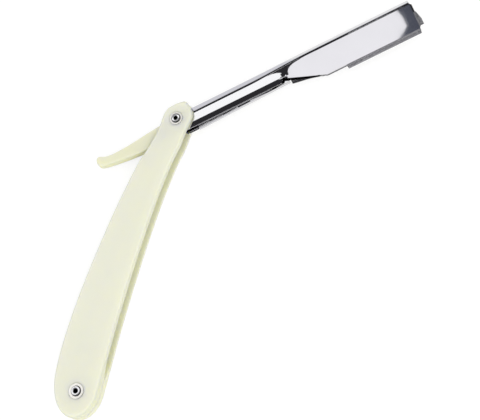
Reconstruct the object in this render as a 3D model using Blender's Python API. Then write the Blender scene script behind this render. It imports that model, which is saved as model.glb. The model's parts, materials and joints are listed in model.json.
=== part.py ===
"""Straight razor with a replaceable half blade, opened to 131 degrees.

Two plastic scales carry a folded metal sheath on a hollow rivet. Inside the sheath a second
leaf turns on the same rivet and holds the blade. A plastic tang continues the sheath behind
the pivot.

The origin is on the pivot's axis, in the plane of the back scale's outer face. +Z points to
the front scale, and the end rivet lies on -Y. Lengths are in metres.
"""

import math

import bmesh
import bpy
from mathutils import Vector

MM = 0.001

# Handle
SCALE_WALL = 2.0 * MM
SLOT_WIDTH = 5.6 * MM
SCALE_EDGE_ROUND = 1.4 * MM
PAD_GAP = 0.3 * MM
PAD_RAMP = 12.0 * MM
END_RIVET_SETBACK = 17.6 * MM
SWING_CLEARANCE = 0.5 * MM

# Points of the scale's outline, as left-right and up-down offsets in outline units.
# Those of the head are measured from the pivot and those of the tail from the end rivet.
OUTLINE_UNIT = 1.0 * MM
HEAD_OUTLINE = (
    (6.75, -5.0),
    (7.2, 0.0),
    (7.2, 3.7),
    (5.1, 6.7),
    (2.7, 8.7),
    (1.0, 9.3),
    (-0.8, 8.6),
    (-3.3, 6.9),
    (-6.0, 4.1),
    (-7.0, 1.6),
    (-7.2, -1.2),
    (-7.3, -8.0),
)
TAIL_OUTLINE = (
    (-14.0, 6.4),
    (-12.0, -1.1),
    (-9.0, -6.8),
    (-5.0, -10.6),
    (0.2, -12.5),
    (5.0, -11.0),
    (8.6, -6.8),
    (10.2, -0.8),
    (9.7, 7.4),
)
# Edges between head and tail: share of the way to the end rivet, then offset in outline units.
CONVEX_EDGE = (
    (0.127, -8.9),
    (0.189, -11.1),
    (0.277, -12.7),
    (0.393, -14.3),
    (0.546, -15.6),
    (0.706, -16.2),
    (0.852, -15.6),
)
HOLLOW_EDGE = (
    (0.844, 8.4),
    (0.735, 7.1),
    (0.582, 5.8),
    (0.437, 5.0),
    (0.291, 4.7),
    (0.160, 5.4),
    (0.087, 6.6),
)
OUTLINE_STEPS = 4
ROUND_STEPS = 4
RAMP_STEPS = 6
SLOT_SIDES = 90

# Rivets, with the washers and collars on them
PIVOT_SHAFT_RADIUS = 1.55 * MM
PIVOT_BORE_RADIUS = 1.0 * MM
PIVOT_COLLAR_RADIUS = 3.15 * MM
END_SHAFT_RADIUS = 1.75 * MM
END_BORE_RADIUS = 1.2 * MM
END_COLLAR_RADIUS = 3.65 * MM
RIVET_HEAD_RADIUS = 3.0 * MM
RIVET_HEAD_THICKNESS = 0.6 * MM
COLLAR_THICKNESS = 0.3 * MM
COLLAR_RIM_RISE = 0.3 * MM
COUNTERBORE_DEPTH = 0.45 * MM
CLINCH_OVERHANG = 0.75 * MM
CLINCH_HEIGHT = 0.6 * MM
WASHER_THICKNESS = 0.3 * MM
WASHER_RADIUS = 3.2 * MM
HOLE_CLEARANCE = 0.12 * MM
SEAT_GAP = 0.1 * MM
SIDE_GAP = 0.15 * MM
ROUND_SIDES = 32

# Arm, along its own length from the pivot and across it, spine up
OPEN_ANGLE = math.radians(131.4)
SHEET = 0.45 * MM
SHANK_LENGTH = 53.0 * MM
NOTCH_LENGTH = 1.4 * MM
SHOULDER_LENGTH = 18.7 * MM
HEAD_LENGTH = 49.3 * MM
SPINE_RISE = 3.2 * MM
HEAD_SPINE_LIFT = 0.25 * MM
SPINE_HALF_WIDTH = 0.5 * MM
CREASE_BEND = 0.45 * MM
HEAD_CREASE_HEIGHT = 0.8 * MM
SHANK_DEPTH = 6.8 * MM
NOTCH_DEPTH = 4.4 * MM
HEAD_DEPTH = 12.5 * MM
TUCK_START = 4.3 * MM
TUCK_ANGLE = math.radians(10)
MOUTH_HALF_WIDTH = 1.2 * MM
TAIL_LENGTH = 8.0 * MM
EAR_TAIL_RISE = 1.75 * MM
EAR_TAPER = 4.0 * MM
SPINE_START = 4.0 * MM
UPPER_CHEEK_STEPS = 4
LOWER_CHEEK_STEPS = 3

# The cheek's turn from the shank's plane to the head's taper: where it starts and ends, from
# the shank's end, beside the crease and at the turn's depth below it.
TURN_TOP_START = -8.0 * MM
TURN_TOP_END = 13.0 * MM
TURN_LOW_START = 2.5 * MM
TURN_LOW_END = 5.5 * MM
TURN_DEPTH = 5.0 * MM
TURN_SAMPLES = 6
TURN_STATION_STEP = 1.5 * MM

# Blade: half of a double-edge blade, and how far it shows below the sheath
BLADE_EDGE_LENGTH = 37.4 * MM
BLADE_EAR_LENGTH = 2.75 * MM
BLADE_WIDTH = 11.0 * MM
BLADE_EAR_STEP = 3.3 * MM
BLADE_EAR_SLANT = 1.1 * MM
BLADE_EAR_SLANT_DEPTH = 4.5 * MM
BLADE_THICKNESS = 0.1 * MM
BLADE_BEVEL = 0.8 * MM
BLADE_EXPOSURE = 1.9 * MM
BLADE_END_SETBACK = 0.4 * MM
BLADE_NOTCH_SPACING = 26.0 * MM
PEG_RADIUS = 1.3 * MM
PEG_HEAD_OVERHANG = 0.4 * MM
PEG_STAND = 0.12 * MM

# Carrier: the inner leaf that swings out of the sheath with the blade
LEAF_SHEET = 0.45 * MM
LEAF_GAP = 0.06 * MM
CARRIER_HALF_WIDTH = 1.15 * MM
CARRIER_EYE_RADIUS = 3.1 * MM
CARRIER_TOP = 0.9 * MM
CARRIER_ROOT_DEPTH = 8.0 * MM
CARRIER_EYE_STEPS = 6
EYE_ROOM = 1.4 * MM
CARRIER_WEB_DEPTH = 8.7 * MM
CARRIER_WEB_RISE = 1.2 * MM
CARRIER_WEB_START = 6.0 * MM
CARRIER_WEB_OVERRUN = 3.8 * MM
CARRIER_TIP_OVERHANG = 0.9 * MM
LEAF_MARGIN = 1.0 * MM
LEAF_STEP = 6.5 * MM
GRIP_PITCH = 0.65 * MM
GRIP_DEPTH = 0.2 * MM

# Tang: the thumb lever behind the pivot
TANG_LENGTH = 45.2 * MM
TANG_EDGE_ROUND = 0.7 * MM
TANG_UNIT = 1.0 * MM
TANG_PLUG_LENGTH = 3.9 * MM
TANG_PIN_RADIUS = 0.75 * MM
# The tang's side view: share of the way from the sheath's tail to the tip, top and bottom.
TANG_PROFILE = (
    (0.0, 1.75, -6.65),
    (0.12, 1.4, -6.8),
    (0.26, 0.8, -6.85),
    (0.40, 0.2, -6.75),
    (0.52, -0.3, -6.45),
    (0.64, -0.55, -6.0),
    (0.76, -0.65, -5.45),
    (0.86, -0.15, -4.9),
    (0.92, 0.9, -4.45),
    (0.955, 1.25, -4.1),
    (0.985, 0.75, -3.4),
    (1.0, -0.6, -2.2),
)
TANG_TIP_START = 0.955
TANG_TIP_ROUND = 1.0 * MM

# Sizes that follow from those above
TOTAL_THICKNESS = 2 * SCALE_WALL + SLOT_WIDTH
MID_PLANE = TOTAL_THICKNESS / 2
FACE_HEIGHT = TOTAL_THICKNESS / 2
ARM_HALF_WIDTH = SLOT_WIDTH / 2 - WASHER_THICKNESS - 2 * SIDE_GAP
SHEATH_END = SHANK_LENGTH + NOTCH_LENGTH + SHOULDER_LENGTH + HEAD_LENGTH
BLADE_EDGE_HEIGHT = -HEAD_DEPTH - BLADE_EXPOSURE
BLADE_TOP_HEIGHT = BLADE_EDGE_HEIGHT + BLADE_WIDTH
BLADE_EAR_HEIGHT = BLADE_EDGE_HEIGHT + BLADE_EAR_STEP
BLADE_END = SHEATH_END - BLADE_END_SETBACK
BLADE_START = BLADE_END - BLADE_EDGE_LENGTH
BLADE_MIDDLE = (BLADE_START + BLADE_END) / 2
BLADE_BOTTOM = LEAF_SHEET / 2 + LEAF_GAP
TIP_RADIUS = math.hypot(BLADE_END + BLADE_EAR_LENGTH, BLADE_EAR_HEIGHT)
RAMP_END = TIP_RADIUS + SWING_CLEARANCE + PAD_RAMP / 2
RAMP_START = RAMP_END - PAD_RAMP
RIVET_SPACING = TIP_RADIUS + SWING_CLEARANCE - PAD_RAMP / 2 + END_RIVET_SETBACK
COUNTERBORE_FLOOR = FACE_HEIGHT - COUNTERBORE_DEPTH
PLUG_TOP = EAR_TAIL_RISE - 2 * SHEET
PLUG_BOTTOM = -TUCK_START
ARM_ANGLE = OPEN_ANGLE - math.pi / 2


def clear_scene():
    for thing in list(bpy.data.objects):
        bpy.data.objects.remove(thing, do_unlink=True)


def make_material(name, colour, roughness, metallic):
    material = bpy.data.materials.new(name)
    material.use_nodes = True
    shader = material.node_tree.nodes["Principled BSDF"]
    shader.inputs["Base Color"].default_value = (*colour, 1.0)
    shader.inputs["Roughness"].default_value = roughness
    shader.inputs["Metallic"].default_value = metallic
    material.diffuse_color = (*colour, 1.0)
    return material


def make_empty(name, angle=0.0):
    empty = bpy.data.objects.new(name, None)
    empty.location = (0.0, 0.0, MID_PLANE)
    empty.rotation_euler = (0.0, 0.0, angle)
    bpy.context.scene.collection.objects.link(empty)
    return empty


def make_object(name, bm, parent, material=None):
    """Closes up a bmesh as an object whose origin is its parent's."""
    bmesh.ops.recalc_face_normals(bm, faces=bm.faces)
    mesh = bpy.data.meshes.new(name)
    bm.to_mesh(mesh)
    bm.free()
    thing = bpy.data.objects.new(name, mesh)
    bpy.context.scene.collection.objects.link(thing)
    thing.parent = parent
    if material is not None:
        mesh.materials.append(material)
    mesh.shade_smooth()
    mesh.set_sharp_from_angle(angle=math.radians(30))
    return thing


def make_cutter(name, bm, parent):
    cutter = make_object(name, bm, parent)
    cutter.hide_render = True
    cutter.display_type = "WIRE"
    return cutter


def apply_boolean(thing, other, operation):
    modifier = thing.modifiers.new(operation.title(), "BOOLEAN")
    modifier.object = other
    modifier.operation = operation
    modifier.solver = "EXACT"


def curve_point(before, start, end, after, share):
    """Point on the Catmull-Rom curve from start to end."""
    return (
        start
        + 0.5 * share * (end - before)
        + 0.5 * share**2 * (2 * before - 5 * start + 4 * end - after)
        + 0.5 * share**3 * (3 * start - before - 3 * end + after)
    )


def smooth_loop(points, steps):
    """Closed curve through the points."""
    count = len(points)
    curve = []
    for index in range(count):
        near = [Vector(points[(index + shift) % count]) for shift in (-1, 0, 1, 2)]
        curve += [curve_point(*near, step / steps) for step in range(steps)]
    return curve


def smooth_path(points, steps):
    """Open curve through the points."""
    points = [Vector(point) for point in (points[0], *points, points[-1])]
    curve = []
    for index in range(len(points) - 3):
        near = points[index : index + 4]
        curve += [curve_point(*near, step / steps) for step in range(steps)]
    curve.append(points[-1])
    return curve


def inset_loop(loop, distance):
    """Moves each point of a counter-clockwise loop inwards, square to the loop."""
    moved = []
    count = len(loop)
    for index, point in enumerate(loop):
        along = (loop[(index + 1) % count] - loop[index - 1]).normalized()
        moved.append(point + distance * Vector((-along.y, along.x)))
    return moved


def bridge_rings(bm, rings):
    """Skins a stack of rings of as many points each, and caps both ends."""
    rows = [[bm.verts.new(point) for point in ring] for ring in rings]
    count = len(rows[0])
    for lower, upper in zip(rows, rows[1:]):
        for index in range(count):
            following = (index + 1) % count
            bm.faces.new((lower[index], lower[following], upper[following], upper[index]))
    bm.faces.new(reversed(rows[0]))
    bm.faces.new(rows[-1])


def rounded_prism(loop, levels):
    """Prism over a loop; levels are pairs of height and inset."""
    bm = bmesh.new()
    rings = []
    for height, inset in levels:
        rings.append([(p.x, p.y, height) for p in inset_loop(loop, inset)])
    bridge_rings(bm, rings)
    return bm


def round_over(height, radius, direction):
    """Levels of a quarter-round edge that ends at the height."""
    levels = []
    for step in range(ROUND_STEPS + 1):
        turn = math.pi / 2 * step / ROUND_STEPS
        drop = radius * (1 - math.sin(turn))
        levels.append((height - direction * drop, radius * (1 - math.cos(turn))))
    return levels


def turned(profile, sides=ROUND_SIDES, centre=(0.0, 0.0)):
    """Solid of revolution about Z; a profile that starts and ends at radius 0 closes itself."""
    bm = bmesh.new()
    rings = []
    for radius, height in profile:
        if radius == 0:
            rings.append([bm.verts.new((centre[0], centre[1], height))])
            continue
        ring = []
        for side in range(sides):
            turn = 2 * math.pi * side / sides
            place = (centre[0] + radius * math.cos(turn), centre[1] + radius * math.sin(turn))
            ring.append(bm.verts.new((*place, height)))
        rings.append(ring)
    pairs = list(zip(rings, rings[1:]))
    if profile[0][0] != 0:
        pairs.append((rings[-1], rings[0]))
    for first, second in pairs:
        for side in range(sides):
            following = (side + 1) % sides
            corners = [first[side % len(first)], first[following % len(first)]]
            corners += [second[following % len(second)], second[side % len(second)]]
            bm.faces.new(list(dict.fromkeys(corners)))
    return bm


def cylinder(radius, low, high, centre=(0.0, 0.0)):
    profile = ((0.0, low), (radius, low), (radius, high), (0.0, high))
    return turned(profile, centre=centre)


def box(low, high):
    bm = bmesh.new()
    corners = ((low[0], low[1]), (high[0], low[1]), (high[0], high[1]), (low[0], high[1]))
    bridge_rings(bm, [[(x, y, height) for x, y in corners] for height in (low[2], high[2])])
    return bm


def merged(first, *others):
    """Puts separate bodies into one bmesh."""
    for other in others:
        mesh = bpy.data.meshes.new("body")
        other.to_mesh(mesh)
        other.free()
        first.from_mesh(mesh)
        bpy.data.meshes.remove(mesh)
    return first


def smoothstep(share):
    share = min(max(share, 0.0), 1.0)
    return share * share * (3 - 2 * share)


def handle_outline():
    """The scale's outline, counter-clockwise from above."""
    unit = OUTLINE_UNIT
    points = [(x * unit, y * unit) for x, y in HEAD_OUTLINE]
    points += [(x * unit, -share * RIVET_SPACING) for share, x in CONVEX_EDGE]
    points += [(x * unit, y * unit - RIVET_SPACING) for x, y in TAIL_OUTLINE]
    points += [(x * unit, -share * RIVET_SPACING) for share, x in HOLLOW_EDGE]
    return smooth_loop(points, OUTLINE_STEPS)


def slot_cutter(parent):
    """The space between the scales: a disc about the pivot that thins out towards the tail."""
    ramp = []
    for step in range(RAMP_STEPS + 1):
        share = step / RAMP_STEPS
        ramp.append((RAMP_START + share * PAD_RAMP, SLOT_WIDTH / 2 * (1 - smoothstep(share))))
    lower = [(0.0, -SLOT_WIDTH / 2)] + [(radius, -height) for radius, height in ramp]
    upper = [(radius, height) for radius, height in reversed(ramp[:-1])]
    profile = lower + upper + [(0.0, SLOT_WIDTH / 2)]
    return make_cutter("slot_space", turned(profile, SLOT_SIDES), parent)


def rivet_space(centre, hole_radius, recess_radius, recess_floor, side):
    """Hole through one scale with the recess for what sits on its outer face."""
    reach = 2 * FACE_HEIGHT * side
    profile = (
        (0.0, -reach),
        (hole_radius, -reach),
        (hole_radius, recess_floor),
        (recess_radius, recess_floor),
        (recess_radius, reach),
        (0.0, reach),
    )
    return turned(profile, centre=centre)


def make_scale(name, side, slot, parent, material):
    """One scale; side is 1 for the front and -1 for the back."""
    levels = [(side * PAD_GAP / 2, 0.0)] + round_over(side * FACE_HEIGHT, SCALE_EDGE_ROUND, side)
    scale = make_object(name, rounded_prism(handle_outline(), levels), parent, material)
    spaces = []
    for centre, shaft_radius, collar_radius in rivet_places():
        recess_radius = (collar_radius if side > 0 else RIVET_HEAD_RADIUS) + SEAT_GAP
        floor = COUNTERBORE_FLOOR
        if side < 0:
            floor = RIVET_HEAD_THICKNESS + SEAT_GAP - FACE_HEIGHT
        hole_radius = shaft_radius + HOLE_CLEARANCE
        spaces.append(rivet_space(centre, hole_radius, recess_radius, floor, side))
    apply_boolean(scale, slot, "DIFFERENCE")
    apply_boolean(scale, make_cutter(name + "_rivet_space", merged(*spaces), parent), "DIFFERENCE")
    return scale


def rivet_places():
    """Centre, shaft radius and collar radius of the pivot rivet and the end rivet."""
    return (
        ((0.0, 0.0), PIVOT_SHAFT_RADIUS, PIVOT_COLLAR_RADIUS),
        ((0.0, -RIVET_SPACING), END_SHAFT_RADIUS, END_COLLAR_RADIUS),
    )


def make_rivet(name, centre, shaft_radius, bore_radius, parent, material):
    """Semi-tubular rivet: flat head at the back, hollow end rolled over the collar in front."""
    back = -FACE_HEIGHT
    shelf = back + RIVET_HEAD_THICKNESS
    seat = COUNTERBORE_FLOOR + COLLAR_THICKNESS + 2 * SEAT_GAP
    top = seat + CLINCH_HEIGHT
    edge = SEAT_GAP
    clinch = shaft_radius + CLINCH_OVERHANG
    wall_top = (bore_radius + clinch) / 2
    profile = (
        (0.0, back),
        (RIVET_HEAD_RADIUS - edge, back),
        (RIVET_HEAD_RADIUS, back + edge),
        (RIVET_HEAD_RADIUS, shelf),
        (shaft_radius, shelf),
        (shaft_radius, seat),
        (clinch - edge, seat),
        (clinch, seat + CLINCH_HEIGHT / 4),
        (clinch - edge, seat + 0.75 * CLINCH_HEIGHT),
        (wall_top + edge, top),
        (wall_top - edge, top),
        (bore_radius + edge, seat + 0.75 * CLINCH_HEIGHT),
        (bore_radius, seat),
        (bore_radius, 0.0),
        (0.0, -bore_radius / 2),
    )
    return make_object(name, turned(profile, centre=centre), parent, material)


def make_collar(name, centre, shaft_radius, collar_radius, parent, material):
    """Dished collar under the rolled end of a rivet."""
    low = COUNTERBORE_FLOOR + SEAT_GAP
    high = low + COLLAR_THICKNESS
    inner = shaft_radius + HOLE_CLEARANCE
    dish = shaft_radius + CLINCH_OVERHANG + SEAT_GAP
    crown = (dish + collar_radius) / 2
    profile = (
        (inner, low),
        (collar_radius - SEAT_GAP, low),
        (collar_radius, low + SEAT_GAP),
        (collar_radius, high),
        (crown + SEAT_GAP, high + COLLAR_RIM_RISE),
        (crown - SEAT_GAP, high + COLLAR_RIM_RISE),
        (dish, high),
        (inner, high),
    )
    return make_object(name, turned(profile, centre=centre), parent, material)


def make_washer(name, side, parent, material):
    near = side * (ARM_HALF_WIDTH + SIDE_GAP)
    far = near + side * WASHER_THICKNESS
    inner = PIVOT_SHAFT_RADIUS + HOLE_CLEARANCE
    profile = ((inner, near), (WASHER_RADIUS, near), (WASHER_RADIUS, far), (inner, far))
    return make_object(name, turned(profile), parent, material)


def sheath_depth(along):
    """How far the sheath's lower edge lies below the pivot's level."""
    shoulder_start = SHANK_LENGTH + NOTCH_LENGTH
    if along <= SHANK_LENGTH:
        return SHANK_DEPTH
    if along <= shoulder_start:
        share = (along - SHANK_LENGTH) / NOTCH_LENGTH
        return SHANK_DEPTH + share * (NOTCH_DEPTH - SHANK_DEPTH)
    share = min((along - shoulder_start) / SHOULDER_LENGTH, 1.0)
    return NOTCH_DEPTH + share * (HEAD_DEPTH - NOTCH_DEPTH)


def blend(start, end, share):
    return start + share * (end - start)


def head_turn(along, height):
    """How far the cheek has turned from the shank's plane to the head's taper, from 0 to 1."""
    drop = min(max(-height / TURN_DEPTH, 0.0), 1.0)
    start = SHANK_LENGTH + blend(TURN_TOP_START, TURN_LOW_START, drop)
    end = SHANK_LENGTH + blend(TURN_TOP_END, TURN_LOW_END, drop)
    return smoothstep((along - start) / (end - start))


def sheath_half_width(along, height):
    """Half the sheath's outer thickness on its cheeks, below the crease under the spine."""
    turn = 0.0
    for sample in range(TURN_SAMPLES):
        turn += head_turn(along, height * (sample + 0.5) / TURN_SAMPLES) / TURN_SAMPLES
    taper = (ARM_HALF_WIDTH - MOUTH_HALF_WIDTH) / HEAD_DEPTH
    tuck = max(-height - TUCK_START, 0.0) * math.tan(TUCK_ANGLE)
    shank_share = 1.0 - head_turn(along, height)
    return ARM_HALF_WIDTH + taper * turn * min(height, 0.0) - tuck * shank_share


def spine_rise(along):
    """Height of the spine's top; the ears behind the pivot slope down to the tang."""
    if along < SPINE_START:
        share = smoothstep((along + TAIL_LENGTH) / EAR_TAPER)
        return blend(EAR_TAIL_RISE, SPINE_RISE, share)
    return SPINE_RISE + HEAD_SPINE_LIFT * head_turn(along, 0.0)


def sheath_half_section(along):
    """Outer profile of the front half, from the spine down to the lip, as height and width."""
    rise = spine_rise(along)
    crease = HEAD_CREASE_HEIGHT * head_turn(along, 0.0)
    boxed = smoothstep((2.3 * SPINE_START - along) / SPINE_START)
    shoulder = SPINE_HALF_WIDTH + boxed * (ARM_HALF_WIDTH - SPINE_HALF_WIDTH - SHEET)
    profile = [
        (rise, shoulder),
        (rise - 0.3 * SHEET, shoulder + 0.7 * SHEET),
        (rise - SHEET, shoulder + SHEET),
        (crease + CREASE_BEND, ARM_HALF_WIDTH - 0.35 * CREASE_BEND * (1 - boxed)),
        (crease, ARM_HALF_WIDTH),
    ]
    lip = -sheath_depth(along)
    bend = lip * TUCK_START / SHANK_DEPTH
    for step in range(1, UPPER_CHEEK_STEPS + 1):
        height = blend(crease, bend, step / UPPER_CHEEK_STEPS)
        profile.append((height, sheath_half_width(along, height)))
    for step in range(1, LOWER_CHEEK_STEPS + 1):
        height = blend(bend, lip, step / LOWER_CHEEK_STEPS)
        profile.append((height, sheath_half_width(along, height)))
    return profile


def sheet_section(profile, along, sheet):
    """Closed section of a bent sheet: the mirrored outer profile and its inward offset."""
    outer = [Vector((height, width)) for height, width in profile]
    inner = []
    for index, point in enumerate(outer):
        ahead = outer[min(index + 1, len(outer) - 1)]
        behind = outer[index - 1] if index else Vector((outer[0].x, -outer[0].y))
        along_sheet = (ahead - behind).normalized()
        inward = Vector((along_sheet.y, -along_sheet.x))
        inner.append(point + sheet * inward * (-1 if inward.y > 0 else 1))
    inner[0] = Vector((outer[0].x - sheet, max(outer[0].y - sheet / 2, sheet / 4)))
    ring = [(along, p.x, p.y) for p in reversed(outer)]
    ring += [(along, p.x, -p.y) for p in outer]
    ring += [(along, p.x, -p.y) for p in reversed(inner)]
    ring += [(along, p.x, p.y) for p in inner]
    return ring


def sheath_stations():
    """Places along the arm where the sheath's section is drawn, closer where it changes."""
    shoulder_start = SHANK_LENGTH + NOTCH_LENGTH
    straight_start = shoulder_start + SHOULDER_LENGTH
    stations = [-TAIL_LENGTH + EAR_TAPER * step / 4 for step in range(5)]
    stations += [SPINE_START * (1.1 + 0.25 * step) for step in range(6)]
    stations += [SHANK_LENGTH / 2]
    before_notch = math.ceil(-TURN_TOP_START / TURN_STATION_STEP)
    for step in range(before_notch):
        stations.append(SHANK_LENGTH + TURN_TOP_START * (1 - step / before_notch))
    stations += [SHANK_LENGTH + NOTCH_LENGTH * share for share in (0.0, 0.5, 1.0)]
    on_shoulder = math.ceil(SHOULDER_LENGTH / TURN_STATION_STEP)
    for step in range(1, on_shoulder + 1):
        stations.append(blend(shoulder_start, straight_start, step / on_shoulder))
    stations += [straight_start + HEAD_LENGTH / 2, SHEATH_END]
    return stations


def make_sheath(parent, material):
    """Folded outer holder: spine up, cheeks down, with the spine cut away round the pivot."""
    bm = bmesh.new()
    bridge_rings(
        bm, [sheet_section(sheath_half_section(s), s, SHEET) for s in sheath_stations()]
    )
    sheath = make_object("blade_sheath", bm, parent, material)
    opening_half = ARM_HALF_WIDTH - 0.8 * SHEET
    hole_radius = PIVOT_SHAFT_RADIUS + HOLE_CLEARANCE
    web = box(
        (-CARRIER_EYE_RADIUS - EYE_ROOM, hole_radius + SEAT_GAP, -opening_half),
        (SPINE_START, 2 * SPINE_RISE, opening_half),
    )
    reach = SLOT_WIDTH
    pivot = cylinder(hole_radius, -reach, reach)
    pin = cylinder(TANG_PIN_RADIUS + HOLE_CLEARANCE, -reach, reach, tang_pin_centre())
    spaces = make_cutter("sheath_spaces", merged(web, pivot, pin), parent)
    apply_boolean(sheath, spaces, "DIFFERENCE")
    return sheath


def tang_pin_centre():
    return (-TAIL_LENGTH + TANG_PLUG_LENGTH / 2, (PLUG_TOP + PLUG_BOTTOM) / 2)


def rounded_section(along, top, bottom, half, radius):
    """Closed rectangular section with quarter-round corners."""
    ring = []
    corners = ((top, half, 1, 1), (top, half, 1, -1), (bottom, half, -1, -1), (bottom, half, -1, 1))
    for quarter, (height, width, up, out) in enumerate(corners):
        for step in range(ROUND_STEPS + 1):
            share = step / ROUND_STEPS
            turn = math.pi / 2 * (1 - share if quarter % 2 else share)
            ring.append(
                (
                    along,
                    height - up * radius * (1 - math.sin(turn)),
                    out * (width - radius * (1 - math.cos(turn))),
                )
            )
    return ring


def tang_rings():
    root = -TAIL_LENGTH - SIDE_GAP
    length = TANG_LENGTH - TAIL_LENGTH - SIDE_GAP
    rings = []
    for share, top, bottom in smooth_path(TANG_PROFILE, OUTLINE_STEPS - 1):
        tip = max(share - TANG_TIP_START, 0.0) / (1 - TANG_TIP_START)
        half = ARM_HALF_WIDTH - TANG_TIP_ROUND * (1 - math.sqrt(max(1 - tip * tip, 0.0)))
        top *= TANG_UNIT
        bottom *= TANG_UNIT
        radius = min(TANG_EDGE_ROUND, (top - bottom) / 3)
        rings.append(rounded_section(root - share * length, top, bottom, half, radius))
    return rings


def make_tang(parent, material):
    """Thumb lever with a thinner plug that enters the sheath's tail."""
    root = -TAIL_LENGTH - SIDE_GAP
    bm = bmesh.new()
    bridge_rings(bm, tang_rings())
    tang = make_object("tang", bm, parent, material)
    plug_half = ARM_HALF_WIDTH - SHEET - SIDE_GAP
    plug = box(
        (root - TANG_PLUG_LENGTH, PLUG_BOTTOM, -plug_half),
        (root + TANG_PLUG_LENGTH, PLUG_TOP, plug_half),
    )
    reach = SLOT_WIDTH
    pin = cylinder(TANG_PIN_RADIUS + HOLE_CLEARANCE, -reach, reach, tang_pin_centre())
    apply_boolean(tang, make_cutter("tang_plug", plug, parent), "UNION")
    apply_boolean(tang, make_cutter("tang_pin_hole", pin, parent), "DIFFERENCE")
    return tang


def make_tang_pin(parent, material):
    half = ARM_HALF_WIDTH + SIDE_GAP
    edge = SEAT_GAP
    radius = TANG_PIN_RADIUS
    profile = ((0.0, -half), (radius - edge, -half), (radius, -half + edge))
    profile += ((radius, half - edge), (radius - edge, half), (0.0, half))
    return make_object("tang_pin", turned(profile, centre=tang_pin_centre()), parent, material)


def lofted_leaf(stations, sheet):
    """Sheet whose top, bottom and middle plane are given at stations along the arm."""
    bm = bmesh.new()
    rings = []
    for along, top, bottom, middle in stations:
        near, far = middle - sheet / 2, middle + sheet / 2
        rings.append(
            [(along, top, near), (along, top, far), (along, bottom, far), (along, bottom, near)]
        )
    bridge_rings(bm, rings)
    return bm


def carrier_eye_stations(middle):
    """The round end of a carrier cheek behind the pivot."""
    stations = []
    for step in range(1, CARRIER_EYE_STEPS + 1):
        turn = math.pi / 2 * step / (CARRIER_EYE_STEPS + 1)
        half = CARRIER_EYE_RADIUS * math.sin(turn)
        stations.append((-CARRIER_EYE_RADIUS * math.cos(turn), half, -half, middle))
    return stations


def carrier_shank_stations(middle):
    """A carrier cheek from its eye to the start of the grip."""
    stations = carrier_eye_stations(middle)
    stations += [
        (0.0, CARRIER_EYE_RADIUS, -CARRIER_EYE_RADIUS, middle),
        (PIVOT_SHAFT_RADIUS, CARRIER_EYE_RADIUS, -CARRIER_ROOT_DEPTH, middle),
        (SPINE_START - SEAT_GAP, CARRIER_EYE_RADIUS / 2, -CARRIER_ROOT_DEPTH, middle),
        (CARRIER_WEB_START - GRIP_PITCH, CARRIER_TOP, -CARRIER_ROOT_DEPTH, middle),
        (CARRIER_WEB_START + GRIP_PITCH, CARRIER_TOP, cheek_bottom(CARRIER_WEB_START), middle),
    ]
    return stations


def web_depth(along):
    """Depth of the serrated strip, which rises a little towards the head."""
    share = (along - CARRIER_WEB_START) / (SHANK_LENGTH - CARRIER_WEB_START)
    return CARRIER_WEB_DEPTH - share * CARRIER_WEB_RISE


def cheek_bottom(along):
    """Height of a carrier cheek's lower edge, inside the serrated strip."""
    return GRIP_DEPTH + LEAF_SHEET / 2 - web_depth(along)


def make_grip_web():
    """Serrated strip that closes the carrier's edge side, for the fingertip."""
    bm = bmesh.new()
    end = SHANK_LENGTH + CARRIER_WEB_OVERRUN
    teeth = int((end - CARRIER_WEB_START) / GRIP_PITCH)
    rings = []
    for tooth in range(teeth):
        start = CARRIER_WEB_START + tooth * GRIP_PITCH
        for share, rise in ((0.0, GRIP_DEPTH), (0.5, 0.0)):
            along = start + share * GRIP_PITCH
            low = -web_depth(along) + rise
            inner = -web_depth(along) + LEAF_SHEET + GRIP_DEPTH
            half = CARRIER_HALF_WIDTH
            rings.append(
                [(along, low, -half), (along, low, half), (along, inner, half), (along, inner, -half)]
            )
    bridge_rings(bm, rings)
    return bm


def make_carrier(parent, material):
    """Inner leaf: two cheeks and a serrated web in the shank, a single flat leaf in the head."""
    side = CARRIER_HALF_WIDTH - LEAF_SHEET / 2
    shoulder_start = SHANK_LENGTH + NOTCH_LENGTH
    straight_start = shoulder_start + SHOULDER_LENGTH
    leaf_top = SPINE_RISE - 2 * SHEET - LEAF_MARGIN / 2
    leaf_bottom = -HEAD_DEPTH + LEAF_MARGIN
    step_up = SHANK_LENGTH - LEAF_STEP
    web_end = SHANK_LENGTH + CARRIER_WEB_OVERRUN - GRIP_PITCH
    back = carrier_shank_stations(-side)
    back += [
        (step_up, CARRIER_TOP, cheek_bottom(step_up), -side),
        (SHANK_LENGTH, CARRIER_TOP, cheek_bottom(SHANK_LENGTH), 0.0),
        (web_end, leaf_top, cheek_bottom(web_end), 0.0),
        (straight_start, leaf_top, leaf_bottom, 0.0),
        (SHEATH_END, leaf_top, leaf_bottom, 0.0),
        (SHEATH_END + CARRIER_TIP_OVERHANG, leaf_top - LEAF_MARGIN, leaf_bottom + LEAF_MARGIN, 0.0),
    ]
    front = carrier_shank_stations(side)
    front.append((step_up, CARRIER_TOP, cheek_bottom(step_up), side))
    carrier = make_object("blade_carrier", lofted_leaf(back, LEAF_SHEET), parent, material)
    cheek = make_cutter("carrier_front_cheek", lofted_leaf(front, LEAF_SHEET), parent)
    web = make_cutter("carrier_grip_web", make_grip_web(), parent)
    reach = SLOT_WIDTH
    holes = [cylinder(PIVOT_SHAFT_RADIUS + HOLE_CLEARANCE, -reach, reach)]
    for centre in peg_centres():
        holes.append(cylinder(PEG_RADIUS + HOLE_CLEARANCE, -reach, reach, centre))
    apply_boolean(carrier, web, "UNION")
    apply_boolean(carrier, cheek, "UNION")
    apply_boolean(carrier, make_cutter("carrier_holes", merged(*holes), parent), "DIFFERENCE")
    return carrier


def peg_centres():
    half = BLADE_NOTCH_SPACING / 2
    return tuple((BLADE_MIDDLE + side * half, BLADE_TOP_HEIGHT) for side in (-1, 1))


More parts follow.
